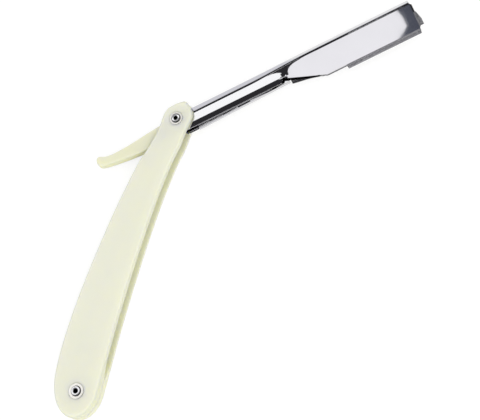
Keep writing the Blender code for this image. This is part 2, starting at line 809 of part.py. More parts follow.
def make_peg(name, centre, parent, material):
    """Stud riveted through the leaf; the blade's notch seats on it."""
    near = -LEAF_SHEET / 2 - LEAF_GAP
    foot = near - PEG_STAND
    top = BLADE_BOTTOM + BLADE_THICKNESS + PEG_STAND
    head = PEG_RADIUS + PEG_HEAD_OVERHANG
    profile = (
        (0.0, foot),
        (head, foot),
        (head, near),
        (PEG_RADIUS, near),
        (PEG_RADIUS, top - PEG_STAND),
        (PEG_RADIUS - PEG_STAND, top),
        (0.0, top),
    )
    return make_object(name, turned(profile, centre=centre), parent, material)


def blade_top_edge():
    """Upper edge of the half blade, right to left, with a round notch over each peg."""
    points = []
    notch_radius = PEG_RADIUS + HOLE_CLEARANCE
    steps = ROUND_SIDES // 2
    for centre in reversed(peg_centres()):
        for step in range(steps + 1):
            turn = -math.pi * step / steps
            points.append(
                (
                    centre[0] + notch_radius * math.cos(turn),
                    BLADE_TOP_HEIGHT + notch_radius * math.sin(turn),
                )
            )
    return points


def make_blade(parent, material):
    """Half double-edge blade: ears past both ends of the edge, and a ground bevel."""
    left, right = BLADE_START, BLADE_END
    slant = BLADE_END_SETBACK
    bevel_line = BLADE_EDGE_HEIGHT + BLADE_BEVEL
    slant_end = BLADE_TOP_HEIGHT - BLADE_EAR_SLANT_DEPTH
    outline = [
        (right + BLADE_EAR_LENGTH, slant_end),
        (right + BLADE_EAR_LENGTH - BLADE_EAR_SLANT, BLADE_TOP_HEIGHT),
    ]
    outline += blade_top_edge()
    outline += [
        (left - BLADE_EAR_LENGTH + BLADE_EAR_SLANT, BLADE_TOP_HEIGHT),
        (left - BLADE_EAR_LENGTH, slant_end),
        (left - BLADE_EAR_LENGTH, BLADE_EAR_HEIGHT),
        (left - slant, BLADE_EAR_HEIGHT),
        (left - slant / 3, bevel_line),
        (right + slant / 3, bevel_line),
        (right + slant, BLADE_EAR_HEIGHT),
        (right + BLADE_EAR_LENGTH, BLADE_EAR_HEIGHT),
    ]
    bm = bmesh.new()
    low, high = BLADE_BOTTOM, BLADE_BOTTOM + BLADE_THICKNESS
    faces = [[bm.verts.new((x, y, z)) for x, y in outline] for z in (low, high)]
    bevel_left = len(outline) - 4
    bevel_right = bevel_left + 1
    middle = (low + high) / 2
    keen = BLADE_THICKNESS / 10
    edge = []
    for z in (middle - keen, middle + keen):
        edge.append([bm.verts.new((x, BLADE_EDGE_HEIGHT, z)) for x in (left, right)])
    bm.faces.new(faces[0])
    bm.faces.new(reversed(faces[1]))
    for index in range(len(outline)):
        following = (index + 1) % len(outline)
        if index != bevel_left:
            corners = (faces[0][index], faces[0][following])
            bm.faces.new(corners + (faces[1][following], faces[1][index]))
    for layer in (0, 1):
        start, end = faces[layer][bevel_left], faces[layer][bevel_right]
        bm.faces.new((start, end, edge[layer][1], edge[layer][0]))
    for index, end in ((bevel_left, 0), (bevel_right, 1)):
        bm.faces.new((faces[0][index], edge[0][end], edge[1][end], faces[1][index]))
    bm.faces.new((edge[0][0], edge[0][1], edge[1][1], edge[1][0]))
    return make_object("blade", bm, parent, material)


def main():
    clear_scene()
    cream = make_material("cream_plastic", (0.80, 0.81, 0.66), 0.3, 0.0)
    chrome = make_material("polished_chrome", (0.85, 0.85, 0.88), 0.08, 1.0)
    steel = make_material("blade_steel", (0.55, 0.55, 0.57), 0.2, 1.0)
    handle = make_empty("handle_pivot")
    arm = make_empty("arm_pivot", ARM_ANGLE)
    carrier = make_empty("carrier_pivot", ARM_ANGLE)
    slot = slot_cutter(handle)
    make_scale("front_scale", 1, slot, handle, cream)
    make_scale("back_scale", -1, slot, handle, cream)
    bores = (PIVOT_BORE_RADIUS, END_BORE_RADIUS)
    for end, place, bore_radius in zip(("pivot", "end"), rivet_places(), bores):
        centre, shaft_radius, collar_radius = place
        make_rivet(end + "_rivet", centre, shaft_radius, bore_radius, handle, chrome)
        make_collar(end + "_collar", centre, shaft_radius, collar_radius, handle, chrome)
    make_washer("pivot_washer_front", 1, handle, chrome)
    make_washer("pivot_washer_back", -1, handle, chrome)
    make_sheath(arm, chrome)
    make_tang(arm, cream)
    make_tang_pin(arm, chrome)
    make_carrier(carrier, chrome)
    for name, centre in zip(("blade_peg_inner", "blade_peg_outer"), peg_centres()):
        make_peg(name, centre, carrier, chrome)
    make_blade(carrier, steel)


main()
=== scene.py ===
"""Looks of the straight razor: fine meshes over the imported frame, materials, stage and camera.

Lengths are in metres in the frame's own axes. The arm's pieces are drawn along the arm, from
the pivot towards the tip, with the spine up, and are then turned into place.
"""

import json
import math

import bmesh
import bpy
from mathutils import Matrix, Vector


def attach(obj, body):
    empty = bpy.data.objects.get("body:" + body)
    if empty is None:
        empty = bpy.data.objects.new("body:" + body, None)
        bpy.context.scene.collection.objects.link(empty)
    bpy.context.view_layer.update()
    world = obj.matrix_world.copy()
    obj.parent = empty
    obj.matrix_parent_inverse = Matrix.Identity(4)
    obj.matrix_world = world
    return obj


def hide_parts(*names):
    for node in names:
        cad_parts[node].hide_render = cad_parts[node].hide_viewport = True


MM = 0.001

# Handle
SCALE_WALL = 2.0 * MM
SLOT_WIDTH = 5.6 * MM
SCALE_EDGE_ROUND = 1.4 * MM
FACE_MARGIN = 0.25 * MM
PAD_GAP = 0.3 * MM
PAD_RAMP = 12.0 * MM
END_RIVET_SETBACK = 17.6 * MM
SWING_CLEARANCE = 0.5 * MM
OUTLINE_UNIT = 1.0 * MM

# Outline points in outline units: the head's are measured from the pivot, the tail's from the end
# rivet, and an edge point is a share of the way between the rivets with its place across
HEAD_OUTLINE = (
    (6.75, -5.0),
    (7.2, 0.0),
    (7.2, 3.7),
    (5.1, 6.7),
    (2.7, 8.7),
    (1.0, 9.3),
    (-0.8, 8.6),
    (-3.3, 6.9),
    (-6.0, 4.1),
    (-7.0, 1.6),
    (-7.2, -1.2),
    (-7.3, -8.0),
)
TAIL_OUTLINE = (
    (-14.0, 6.4),
    (-12.0, -1.1),
    (-9.0, -6.8),
    (-5.0, -10.6),
    (0.2, -12.5),
    (5.0, -11.0),
    (8.6, -6.8),
    (10.2, -0.8),
    (9.7, 7.4),
)
CONVEX_EDGE = (
    (0.127, -8.9),
    (0.189, -11.1),
    (0.277, -12.7),
    (0.393, -14.3),
    (0.546, -15.6),
    (0.706, -16.2),
    (0.852, -15.6),
)
HOLLOW_EDGE = (
    (0.844, 8.4),
    (0.735, 7.1),
    (0.582, 5.8),
    (0.437, 5.0),
    (0.291, 4.7),
    (0.160, 5.4),
    (0.087, 6.6),
)
OUTLINE_STEPS = 12
ROUND_STEPS = 8
RAMP_STEPS = 20
SLOT_SIDES = 540

# Rivets
PIVOT_SHAFT_RADIUS = 1.55 * MM
PIVOT_BORE_RADIUS = 1.0 * MM
PIVOT_COLLAR_RADIUS = 3.15 * MM
END_SHAFT_RADIUS = 1.75 * MM
END_BORE_RADIUS = 1.2 * MM
END_COLLAR_RADIUS = 3.65 * MM
RIVET_HEAD_RADIUS = 3.0 * MM
RIVET_HEAD_THICKNESS = 0.6 * MM
COLLAR_THICKNESS = 0.3 * MM
COLLAR_RIM_RISE = 0.12 * MM
GROOVE_WIDTH = 0.35 * MM
RIM_ROUND = 0.08 * MM
MOUTH_ROUND = 0.2 * MM
COUNTERBORE_DEPTH = 0.45 * MM
CLINCH_OVERHANG = 0.4 * MM
CLINCH_HEIGHT = 0.6 * MM
WASHER_THICKNESS = 0.3 * MM
HOLE_CLEARANCE = 0.12 * MM
SEAT_GAP = 0.1 * MM
SIDE_GAP = 0.15 * MM
ROUND_SIDES = 96
HEAD_EDGE_STEPS = 4
COLLAR_EDGE_STEPS = 6
RIM_STEPS = 8

# Arm
OPEN_ANGLE = math.radians(131.4)
SHEET = 0.45 * MM
SHANK_LENGTH = 53.0 * MM
NOTCH_LENGTH = 1.4 * MM
SHOULDER_LENGTH = 19.8 * MM
HEAD_LENGTH = 48.2 * MM
SPINE_RISE = 3.2 * MM
HEAD_SPINE_LIFT = 0.25 * MM
SPINE_HALF_WIDTH = 0.5 * MM
SPINE_EDGE_REACH = 0.4 * SHEET
SPINE_BEVEL_DROP = 0.7 * SHEET
SPINE_EDGE_BEND = 0.3 * SHEET
SPINE_BEVEL_BEND = 0.4 * SHEET
KNEE_RISE = 0.2 * MM
KNEE_BEND = 0.66 * MM
HEAD_CREASE_HEIGHT = 1.2 * MM
SHANK_DEPTH = 6.8 * MM
NOTCH_DEPTH = 4.8 * MM
HEAD_DEPTH = 12.7 * MM
TUCK_START = 4.5 * MM
TUCK_ANGLE = math.radians(10)
MOUTH_HALF_WIDTH = 1.2 * MM
TAIL_LENGTH = 8.0 * MM
EAR_TAIL_RISE = 1.75 * MM
EAR_TAPER = 4.0 * MM
EAR_WALL = 0.8 * SHEET
SPINE_START = 4.0 * MM
SPINE_FULL = 9.2 * MM
TURN_START = 2.3 * MM
TURN_END = 5.4 * MM
TURN_SPREAD_BEFORE = 18.5 * MM
TURN_SPREAD_AFTER = 13.0 * MM
TURN_FADE = 1.05 * MM
TURN_SAMPLES = 8
STATION_STEP = 0.45 * MM
CORNER_STEPS = 5
CHEEK_STEPS = 22

# Carrier
LEAF_SHEET = 0.45 * MM
CARRIER_HALF_WIDTH = 1.15 * MM
CARRIER_EYE_RADIUS = 3.1 * MM
EYE_STEPS = 14
EYE_ROOM = 1.4 * MM
CARRIER_TOP = 0.9 * MM
CARRIER_ROOT_DEPTH = 8.0 * MM
FRONT_ROOT_DEPTH = 6.5 * MM
CARRIER_WEB_DEPTH = 8.7 * MM
CARRIER_WEB_RISE = 1.2 * MM
CARRIER_WEB_START = 6.0 * MM
GRIP_START = 7.9 * MM
GRIP_END = 36.0 * MM
CARRIER_WEB_OVERRUN = 3.8 * MM
CARRIER_TIP_OVERHANG = 0.9 * MM
CHANNEL_LEAN_TOP = -6.5 * MM
CHANNEL_LEAN = math.radians(8)
CHANNEL_BEVEL = math.radians(16)
CHANNEL_EDGE_START = 8.1 * MM
CHANNEL_EDGE_END = 7.5 * MM
CHANNEL_SAG = 0.4 * MM
CHANNEL_ROUND = 0.8 * MM
CHANNEL_ROUND_FALL = 0.75
CHANNEL_VALLEY_SHARE = 0.6
CHANNEL_STEPS = 8
CHANNEL_END_SHARES = (0.02, 0.25, 0.5, 0.75, 1.0)
LEAF_MARGIN = 1.0 * MM
LEAF_STEP = 6.5 * MM
LEAF_SINK = -0.35 * MM
LEAF_RISE = 1.0 * MM
LEAF_ROOT_RISE = 0.75 * MM
LEAF_LEAD = 1.2 * MM
# Reach past the leaf's start and depth below the pivot, in millimetres
LEAF_LOWER_EDGE = ((0.1, 8.7), (4.0, 9.4), (7.0, 9.9), (10.0, 10.6), (13.0, 11.5))
GRIP_PITCH = 0.65 * MM
GRIP_DEPTH = 0.2 * MM
GRIP_STEPS = 4

# Blade
BLADE_EDGE_LENGTH = 37.4 * MM
BLADE_WIDTH = 11.0 * MM
BLADE_EAR_LENGTH = 2.75 * MM
BLADE_EAR_STEP = 3.3 * MM
BLADE_EXPOSURE = 1.7 * MM
BLADE_DROP = 0.45 * MM
BLADE_END_SETBACK = 0.4 * MM
BLADE_NOTCH_SPACING = 26.0 * MM
PEG_RADIUS = 1.3 * MM

# Tang
TANG_LENGTH = 45.2 * MM
TANG_EDGE_ROUND = 0.7 * MM
TANG_UNIT = 1.0 * MM
TANG_PLUG_LENGTH = 3.9 * MM
TANG_PIN_RADIUS = 0.75 * MM
PLUG_BOTTOM = -4.3 * MM
# Share of the length behind the sheath, then the top and the bottom in tang units
TANG_PROFILE = (
    (0.0, 1.75, -6.65),
    (0.12, 1.4, -6.8),
    (0.26, 0.8, -6.85),
    (0.40, 0.2, -6.75),
    (0.52, -0.3, -6.45),
    (0.64, -0.55, -6.0),
    (0.76, -0.65, -5.45),
    (0.86, -0.15, -4.9),
    (0.92, 0.9, -4.45),
    (0.955, 1.25, -4.1),
    (0.985, 0.75, -3.4),
    (1.0, -0.6, -2.2),
)
TANG_TIP_START = 0.955
TANG_TIP_ROUND = 1.0 * MM
TANG_STEPS = 8

# Sizes that follow
SHOULDER_START = SHANK_LENGTH + NOTCH_LENGTH
HEAD_START = SHOULDER_START + SHOULDER_LENGTH
SHEATH_END = HEAD_START + HEAD_LENGTH
BLADE_TIP_RADIUS = math.hypot(
    SHEATH_END - BLADE_END_SETBACK + BLADE_EAR_LENGTH,
    HEAD_DEPTH + BLADE_EXPOSURE - BLADE_EAR_STEP,
)
RAMP_END = BLADE_TIP_RADIUS + SWING_CLEARANCE + PAD_RAMP / 2
RAMP_START = RAMP_END - PAD_RAMP
RIVET_SPACING = BLADE_TIP_RADIUS + SWING_CLEARANCE - PAD_RAMP / 2 + END_RIVET_SETBACK
TOTAL_THICKNESS = 2 * SCALE_WALL + SLOT_WIDTH
FACE_HEIGHT = TOTAL_THICKNESS / 2
ARM_HALF_WIDTH = SLOT_WIDTH / 2 - WASHER_THICKNESS - 2 * SIDE_GAP
COUNTERBORE_FLOOR = FACE_HEIGHT - COUNTERBORE_DEPTH
PLUG_TOP = EAR_TAIL_RISE - 2 * SHEET
ARM_ANGLE = OPEN_ANGLE - math.pi / 2
HANDLE_PLACE = Matrix.Translation((0.0, 0.0, FACE_HEIGHT))
ARM_PLACE = HANDLE_PLACE @ Matrix.Rotation(ARM_ANGLE, 4, "Z")

# Surfaces: how far down the painted warm bounce light reaches between the scales, colours (painted
# shade and light among them), and bends that still look smooth
BOUNCE_LIGHT_FADE = 5.0 * MM
FACE_WARM = (0.82, 0.81, 0.7, 1.0)
FACE_COOL = (0.8, 0.82, 0.705, 1.0)
# Painted shade: side faces and rims of the plastic are coloured darker, as if less light reached them
RIM_PAINTED_SHADE = (0.62, 0.64, 0.57, 1.0)
# Painted light: a brighter, yellower colour deep between the scales stands in for light bounced
# inside and passed through the plastic
DEEP_PAINTED_BOUNCE_LIGHT = (0.97, 0.97, 0.66, 1.0)
# Painted shade: the tang's plastic is a darker, slightly bluer copy of the handle's, toning down how
# brightly the lamps light it
TANG_PAINTED_SHADE = (0.885, 0.88, 0.925)
# Painted shade: the rivets and collars darken to this share of their colour in the bore and groove
RECESS_PAINTED_SHADE = 0.04
RIVET_COLOUR = (0.88, 0.88, 0.9)
COLLAR_COLOUR = (1.0, 0.98, 0.93)
CHROME_COLOUR = (0.87, 0.87, 0.89)
STEEL_COLOUR = (0.68, 0.68, 0.7)
PIECE_SMOOTH_ANGLE = math.radians(32)
NODE_SMOOTH_ANGLE = math.radians(30)
BLADE_SMOOTH_ANGLE = math.radians(5)

# Cards that only the metal shows: corners, or ranges, along and across the arm in millimetres
DARK_CEILING = ((-125, 170), (-5, 640))
GREY_CEILING = ((-125, 170), (640, 1000))
SIDE_PANEL = ((-75, 260), (-900, -5))
DARK_SIDE = ((-260, -75), (-420, -5))
TIP_PANEL = ((90, 200), (60, 111))
SHANK_STRIP = ((-125, 158), (8, 158), (14, 161.5), (36, 161.5), (31, 170), (28, 179), (-125, 179))
BLADE_PANEL = ((72, 141), (85, 141), (118, 145), (118, 147), (85, 157), (72, 157))
HEAD_PANEL = (
    (23, 60),
    (90, 60),
    (102, 87),
    (104.5, 88.5),
    (109.5, 91.5),
    (113, 94.5),
    (113, 102),
    (111.5, 108),
    (110, 111),
    (23, 111),
)
CEILING_HEIGHT = 360.0 * MM
SIDE_HEIGHT = 355.0 * MM
TIP_HEIGHT = 353.0 * MM
PANEL_HEIGHT = 350.0 * MM
DARK_GLOW = (0.92, 0.9, 1.0)
DARK_STRENGTH = 0.028
HORIZON_RADIUS = 1.6
HORIZON_HEIGHT = 1.3
HORIZON_SIDES = 48

# Stage: the camera sees a grey floor that glows, so it is white but keeps the shadow
FLOOR_REACH = 3.0
FLOOR_DROP = 0.05 * MM
FLOOR_SEEN_COLOUR = (0.3, 0.3, 0.3, 1.0)
FLOOR_COLOUR = (0.82, 0.82, 0.82, 1.0)
FLOOR_SEEN_GLOW = 0.76
FLOOR_MIRRORED_GLOW = 0.05
WORLD_STRENGTH = 0.83
LAMP_TARGET = (0.0, -0.05, 0.0)

# Camera
CAMERA_PLACE = (0.2977, -0.1483, 0.6279)
CAMERA_TARGET = (0.0431, -0.0329, 0.0)
CAMERA_ROLL = math.radians(20.2)
CAMERA_LENS = 109.82
CAMERA_SENSOR = 36.0
CAMERA_CLIP = 0.01


# Meshes


def finish_mesh(bm, name):
    """Mesh of a finished bmesh, with its normals outwards."""
    bmesh.ops.recalc_face_normals(bm, faces=bm.faces)
    mesh = bpy.data.meshes.new(name)
    bm.to_mesh(mesh)
    bm.free()
    return mesh


def new_object(name, mesh):
    """Object with a mesh, in the scene."""
    thing = bpy.data.objects.new(name, mesh)
    bpy.context.scene.collection.objects.link(thing)
    return thing


def make_piece(name, bm, place, cuts=(), joins=()):
    """Mesh object with its Booleans applied, in the frame's axes."""
    thing = new_object(name, finish_mesh(bm, name))
    others = []
    for operation, bodies in (("UNION", joins), ("DIFFERENCE", cuts)):
        for body in bodies:
            other = new_object(name + "_cut", finish_mesh(body, name + "_cut"))
            modifier = thing.modifiers.new(operation.title(), "BOOLEAN")
            modifier.object = other
            modifier.operation = operation
            modifier.solver = "EXACT"
            others.append(other)
    bpy.context.view_layer.update()
    depsgraph = bpy.context.evaluated_depsgraph_get()
    mesh = bpy.data.meshes.new_from_object(thing.evaluated_get(depsgraph), depsgraph=depsgraph)
    thing.modifiers.clear()
    thing.data = mesh
    for other in others:
        bpy.data.objects.remove(other, do_unlink=True)
    mesh.transform(place)
    mesh.shade_smooth()
    mesh.set_sharp_from_angle(angle=PIECE_SMOOTH_ANGLE)
    return thing


def dress(piece, node, body, material):
    """Puts a piece in the place of a CAD node."""
    piece.data.materials.clear()
    piece.data.materials.append(material)
    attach(piece, body)
    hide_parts(node)


def curve_point(before, start, end, after, share):
    """Point on the Catmull-Rom curve from start to end."""
    return (
        start
        + 0.5 * share * (end - before)
        + 0.5 * share**2 * (2 * before - 5 * start + 4 * end - after)
        + 0.5 * share**3 * (3 * start - before - 3 * end + after)
    )


def smooth_loop(points, steps):
    """Closed curve through the points."""
    count = len(points)
    curve = []
    for index in range(count):
        near = [Vector(points[(index + shift) % count]) for shift in (-1, 0, 1, 2)]
        curve += [curve_point(*near, step / steps) for step in range(steps)]
    return curve


def smooth_path(points, steps):
    """Open curve through the points."""
    points = [Vector(point) for point in (points[0], *points, points[-1])]
    curve = []
    for index in range(len(points) - 3):
        near = points[index : index + 4]
        curve += [curve_point(*near, step / steps) for step in range(steps)]
    curve.append(points[-1])
    return curve


def inset_loop(loop, distance):
    """Moves each point of a counter-clockwise loop inwards, square to the loop."""
    moved = []
    count = len(loop)
    for index, point in enumerate(loop):
        along = (loop[(index + 1) % count] - loop[index - 1]).normalized()
        moved.append(point + distance * Vector((-along.y, along.x)))
    return moved


def bridge_rings(bm, rings):
    """Skins a stack of rings of as many points each, and caps both ends."""
    rows = [[bm.verts.new(point) for point in ring] for ring in rings]
    count = len(rows[0])
    for lower, upper in zip(rows, rows[1:]):
        for index in range(count):
            following = (index + 1) % count
            bm.faces.new((lower[index], lower[following], upper[following], upper[index]))
    bm.faces.new(reversed(rows[0]))
    bm.faces.new(rows[-1])


def rounded_prism(loop, levels):
    """Prism over a loop; levels are pairs of height and inset."""
    bm = bmesh.new()
    rings = []
    for height, inset in levels:
        rings.append([(p.x, p.y, height) for p in inset_loop(loop, inset)])
    bridge_rings(bm, rings)
    return bm


def round_over(height, radius, direction):
    """Levels of a quarter-round edge that ends at the height, with a flat margin after it."""
    levels = []
    for step in range(ROUND_STEPS + 1):
        turn = math.pi / 2 * step / ROUND_STEPS
        drop = radius * (1 - math.sin(turn))
        levels.append((height - direction * drop, radius * (1 - math.cos(turn))))
    levels.append((height, radius + FACE_MARGIN))
    return levels


def turned(profile, sides=ROUND_SIDES, centre=(0.0, 0.0)):
    """Solid of revolution about Z; a profile that starts and ends at radius 0 closes itself."""
    bm = bmesh.new()
    rings = []
    for radius, height in profile:
        if radius == 0:
            rings.append([bm.verts.new((centre[0], centre[1], height))])
            continue
        ring = []
        for side in range(sides):
            turn = 2 * math.pi * side / sides
            place = (centre[0] + radius * math.cos(turn), centre[1] + radius * math.sin(turn))
            ring.append(bm.verts.new((*place, height)))
        rings.append(ring)
    pairs = list(zip(rings, rings[1:]))
    if profile[0][0] != 0:
        pairs.append((rings[-1], rings[0]))
    for first, second in pairs:
        for side in range(sides):
            following = (side + 1) % sides
            corners = [first[side % len(first)], first[following % len(first)]]
            corners += [second[following % len(second)], second[side % len(second)]]
            bm.faces.new(list(dict.fromkeys(corners)))
    return bm


def cylinder(radius, low, high, centre=(0.0, 0.0)):
    """Upright cylinder between two heights."""
    profile = ((0.0, low), (radius, low), (radius, high), (0.0, high))
    return turned(profile, centre=centre)


def box(low, high):
    """Box between its lowest and its highest corner."""
    bm = bmesh.new()
    corners = ((low[0], low[1]), (high[0], low[1]), (high[0], high[1]), (low[0], high[1]))
    bridge_rings(bm, [[(x, y, height) for x, y in corners] for height in (low[2], high[2])])
    return bm


def smoothstep(share):
    """Share from 0 to 1 with a soft start and end."""
    share = min(max(share, 0.0), 1.0)
    return share * share * (3 - 2 * share)


def blend(start, end, share):
    """Value at a share of the way from start to end."""
    return start + share * (end - start)


def arc(centre, radius, start, end, steps):
    """Points on an arc, as radius and height pairs, from one angle in degrees to another."""
    points = []
    for step in range(steps + 1):
        turn = math.radians(blend(start, end, step / steps))
        points.append((centre[0] + radius * math.cos(turn), centre[1] + radius * math.sin(turn)))
    return points


# Handle


def handle_outline():
    """The scale's outline, counter-clockwise from above."""
    unit = OUTLINE_UNIT
    points = [(x * unit, y * unit) for x, y in HEAD_OUTLINE]
    points += [(x * unit, -share * RIVET_SPACING) for share, x in CONVEX_EDGE]
    points += [(x * unit, y * unit - RIVET_SPACING) for x, y in TAIL_OUTLINE]
    points += [(x * unit, -share * RIVET_SPACING) for share, x in HOLLOW_EDGE]
    return smooth_loop(points, OUTLINE_STEPS)


def slot_space():
    """The space between the scales: a disc about the pivot that thins out towards the tail."""
    slope = []
    for step in range(RAMP_STEPS + 1):
        share = step / RAMP_STEPS
        slope.append((RAMP_START + share * PAD_RAMP, SLOT_WIDTH / 2 * (1 - smoothstep(share))))
    lower = [(0.0, -SLOT_WIDTH / 2)] + [(radius, -height) for radius, height in slope]
    upper = [(radius, height) for radius, height in reversed(slope[:-1])]
    return turned(lower + upper + [(0.0, SLOT_WIDTH / 2)], SLOT_SIDES)


def rivet_space(centre, hole_radius, recess_radius, recess_floor, side):
    """Hole through one scale with the recess for what sits on its outer face."""
    reach = 2 * FACE_HEIGHT * side
    profile = (
        (0.0, -reach),
        (hole_radius, -reach),
        (hole_radius, recess_floor),
        (recess_radius, recess_floor),
        (recess_radius, side * (FACE_HEIGHT - SEAT_GAP)),
        (recess_radius + SEAT_GAP, side * FACE_HEIGHT),
        (recess_radius + 2 * SEAT_GAP, reach),
        (0.0, reach),
    )
    return turned(profile, centre=centre)


def rivet_places():
    """Centre, shaft radius and collar radius of the pivot rivet and the end rivet."""
    return (
        ((0.0, 0.0), PIVOT_SHAFT_RADIUS, PIVOT_COLLAR_RADIUS),
        ((0.0, -RIVET_SPACING), END_SHAFT_RADIUS, END_COLLAR_RADIUS),
    )


def make_scale(name, side):
    """One scale; side is 1 for the front and -1 for the back."""
    start = PAD_GAP / 2
    levels = [(side * start, SEAT_GAP), (side * (start + SEAT_GAP), 0.0)]
    levels += round_over(side * FACE_HEIGHT, SCALE_EDGE_ROUND, side)
    cuts = [slot_space()]
    for centre, shaft_radius, collar_radius in rivet_places():
        recess_radius = (collar_radius if side > 0 else RIVET_HEAD_RADIUS) + SEAT_GAP
        floor = COUNTERBORE_FLOOR
        if side < 0:
            floor = RIVET_HEAD_THICKNESS + SEAT_GAP - FACE_HEIGHT
        hole_radius = shaft_radius + HOLE_CLEARANCE
        cuts.append(rivet_space(centre, hole_radius, recess_radius, floor, side))
    return make_piece(name, rounded_prism(handle_outline(), levels), HANDLE_PLACE, cuts)


def make_rivet(name, centre, shaft_radius, bore_radius):
    """Semi-tubular rivet: flat head at the back, hollow end turned over the collar in front."""
    back = -FACE_HEIGHT
    shelf = back + RIVET_HEAD_THICKNESS
    seat = COUNTERBORE_FLOOR + COLLAR_THICKNESS + 2 * SEAT_GAP
    top = seat + CLINCH_HEIGHT
    rim = shaft_radius + CLINCH_OVERHANG
    mouth = bore_radius + MOUTH_ROUND
    profile = [(0.0, back)]
    profile += arc((RIVET_HEAD_RADIUS - SEAT_GAP, back + SEAT_GAP), SEAT_GAP, -90, 0, HEAD_EDGE_STEPS)
    profile += [(RIVET_HEAD_RADIUS, shelf), (shaft_radius, shelf), (shaft_radius, seat), (rim, seat)]
    profile += arc((rim - RIM_ROUND, top - RIM_ROUND), RIM_ROUND, 0, 90, RIM_STEPS)
    profile += arc((mouth, top - MOUTH_ROUND), MOUTH_ROUND, 90, 180, RIM_STEPS)
    profile += [(bore_radius, seat), (bore_radius, 0.0), (0.0, -bore_radius / 2)]
    return make_piece(name, turned(profile, centre=centre), HANDLE_PLACE)


def make_collar(name, centre, shaft_radius, collar_radius):
    """Flat collar with a groove around the turned end of its rivet."""
    low = COUNTERBORE_FLOOR + SEAT_GAP
    high = low + COLLAR_THICKNESS + COLLAR_RIM_RISE
    groove_floor = low + SEAT_GAP
    inner = shaft_radius + HOLE_CLEARANCE
    groove = shaft_radius + CLINCH_OVERHANG + GROOVE_WIDTH
    edge = collar_radius - RIM_ROUND
    profile = [(inner, low), (collar_radius - SEAT_GAP, low), (collar_radius, low + SEAT_GAP)]
    profile += arc((edge, high - RIM_ROUND), RIM_ROUND, 0, 90, COLLAR_EDGE_STEPS)
    profile += [(groove + SEAT_GAP, high), (groove, high - SEAT_GAP), (groove, groove_floor)]
    profile.append((inner, groove_floor))
    return make_piece(name, turned(profile, centre=centre), HANDLE_PLACE)


# Arm


def sheath_depth(along):
    """How far the sheath's lower edge lies below the pivot's level."""
    if along <= SHANK_LENGTH:
        return SHANK_DEPTH
    if along <= SHOULDER_START:
        share = (along - SHANK_LENGTH) / NOTCH_LENGTH
        return blend(SHANK_DEPTH, NOTCH_DEPTH, share)
    share = min((along - SHOULDER_START) / SHOULDER_LENGTH, 1.0)
    return blend(NOTCH_DEPTH, HEAD_DEPTH, share)


def head_turn(along, height):
    """How far the cheek has turned from the shank's plane to the head's taper, from 0 to 1."""
    fade = math.exp(min(height, 0.0) / TURN_FADE)
    start = SHANK_LENGTH + TURN_START - TURN_SPREAD_BEFORE * fade
    end = SHANK_LENGTH + TURN_END + TURN_SPREAD_AFTER * fade
    return smoothstep((along - start) / (end - start))


def crease_height(along):
    """Height of the crease under the spine, which is higher on the head."""
    return HEAD_CREASE_HEIGHT * head_turn(along, 0.0)


def sheath_half_width(along, height):
    """Half the sheath's outer thickness on its cheeks, below the crease under the spine."""
    turn = 0.0
    for sample in range(TURN_SAMPLES):
        turn += head_turn(along, height * (sample + 0.5) / TURN_SAMPLES) / TURN_SAMPLES
    taper = (ARM_HALF_WIDTH - MOUTH_HALF_WIDTH) / HEAD_DEPTH
    tuck = max(-height - TUCK_START, 0.0) * math.tan(TUCK_ANGLE)
    shank_share = 1.0 - head_turn(along, height)
    below_crease = min(height - crease_height(along) - KNEE_RISE, 0.0)
    return ARM_HALF_WIDTH + taper * turn * below_crease - tuck * shank_share


def spine_rise(along):
    """Height of the spine's top; the ears behind the pivot slope down to the tang."""
    if along < SPINE_START:
        share = smoothstep((along + TAIL_LENGTH) / EAR_TAPER)
        return blend(EAR_TAIL_RISE, SPINE_RISE, share)
    return SPINE_RISE + HEAD_SPINE_LIFT * head_turn(along, 0.0)


def rounded_corner(before, corner, after, size):
    """Replaces a corner by a smooth bend that starts and ends at the size from it."""
    before, corner, after = Vector(before), Vector(corner), Vector(after)
    start = corner + (before - corner).normalized() * min(size, (before - corner).length / 2)
    end = corner + (after - corner).normalized() * min(size, (after - corner).length / 2)
    points = []
    for step in range(CORNER_STEPS + 1):
        share = step / CORNER_STEPS
        points.append(start.lerp(corner, share).lerp(corner.lerp(end, share), share))
    return points


def sheath_half_section(along):
    """Outer profile of the front half, from the spine down to the lip, as height and width."""
    rise = spine_rise(along)
    crease = crease_height(along)
    boxed = smoothstep((SPINE_FULL - along) / SPINE_START)
    shoulder = SPINE_HALF_WIDTH + boxed * (ARM_HALF_WIDTH - SPINE_HALF_WIDTH - SHEET)
    spine_edge = (rise, shoulder + SPINE_EDGE_REACH)
    shoulder_top = (rise - SPINE_BEVEL_DROP, shoulder + SHEET)
    knee = (crease + KNEE_RISE, ARM_HALF_WIDTH)
    lip = -sheath_depth(along)
    profile = [Vector((rise, shoulder * 0.5))]
    profile += rounded_corner((rise, 0.0), spine_edge, shoulder_top, SPINE_EDGE_BEND)
    profile += rounded_corner(spine_edge, shoulder_top, knee, SPINE_BEVEL_BEND)
    below = crease + KNEE_RISE - 2 * KNEE_BEND
    cheek_top = (below, sheath_half_width(along, below))
    profile += rounded_corner(shoulder_top, knee, cheek_top, KNEE_BEND)
    top = profile[-1].x
    bend = lip * TUCK_START / SHANK_DEPTH
    stops = [blend(top, bend, step / CHEEK_STEPS) for step in range(1, CHEEK_STEPS + 1)]
    lower = CHEEK_STEPS // 2
    stops += [blend(bend, lip, step / lower) for step in range(1, lower + 1)]
    profile += [Vector((height, sheath_half_width(along, height))) for height in stops]
    return profile


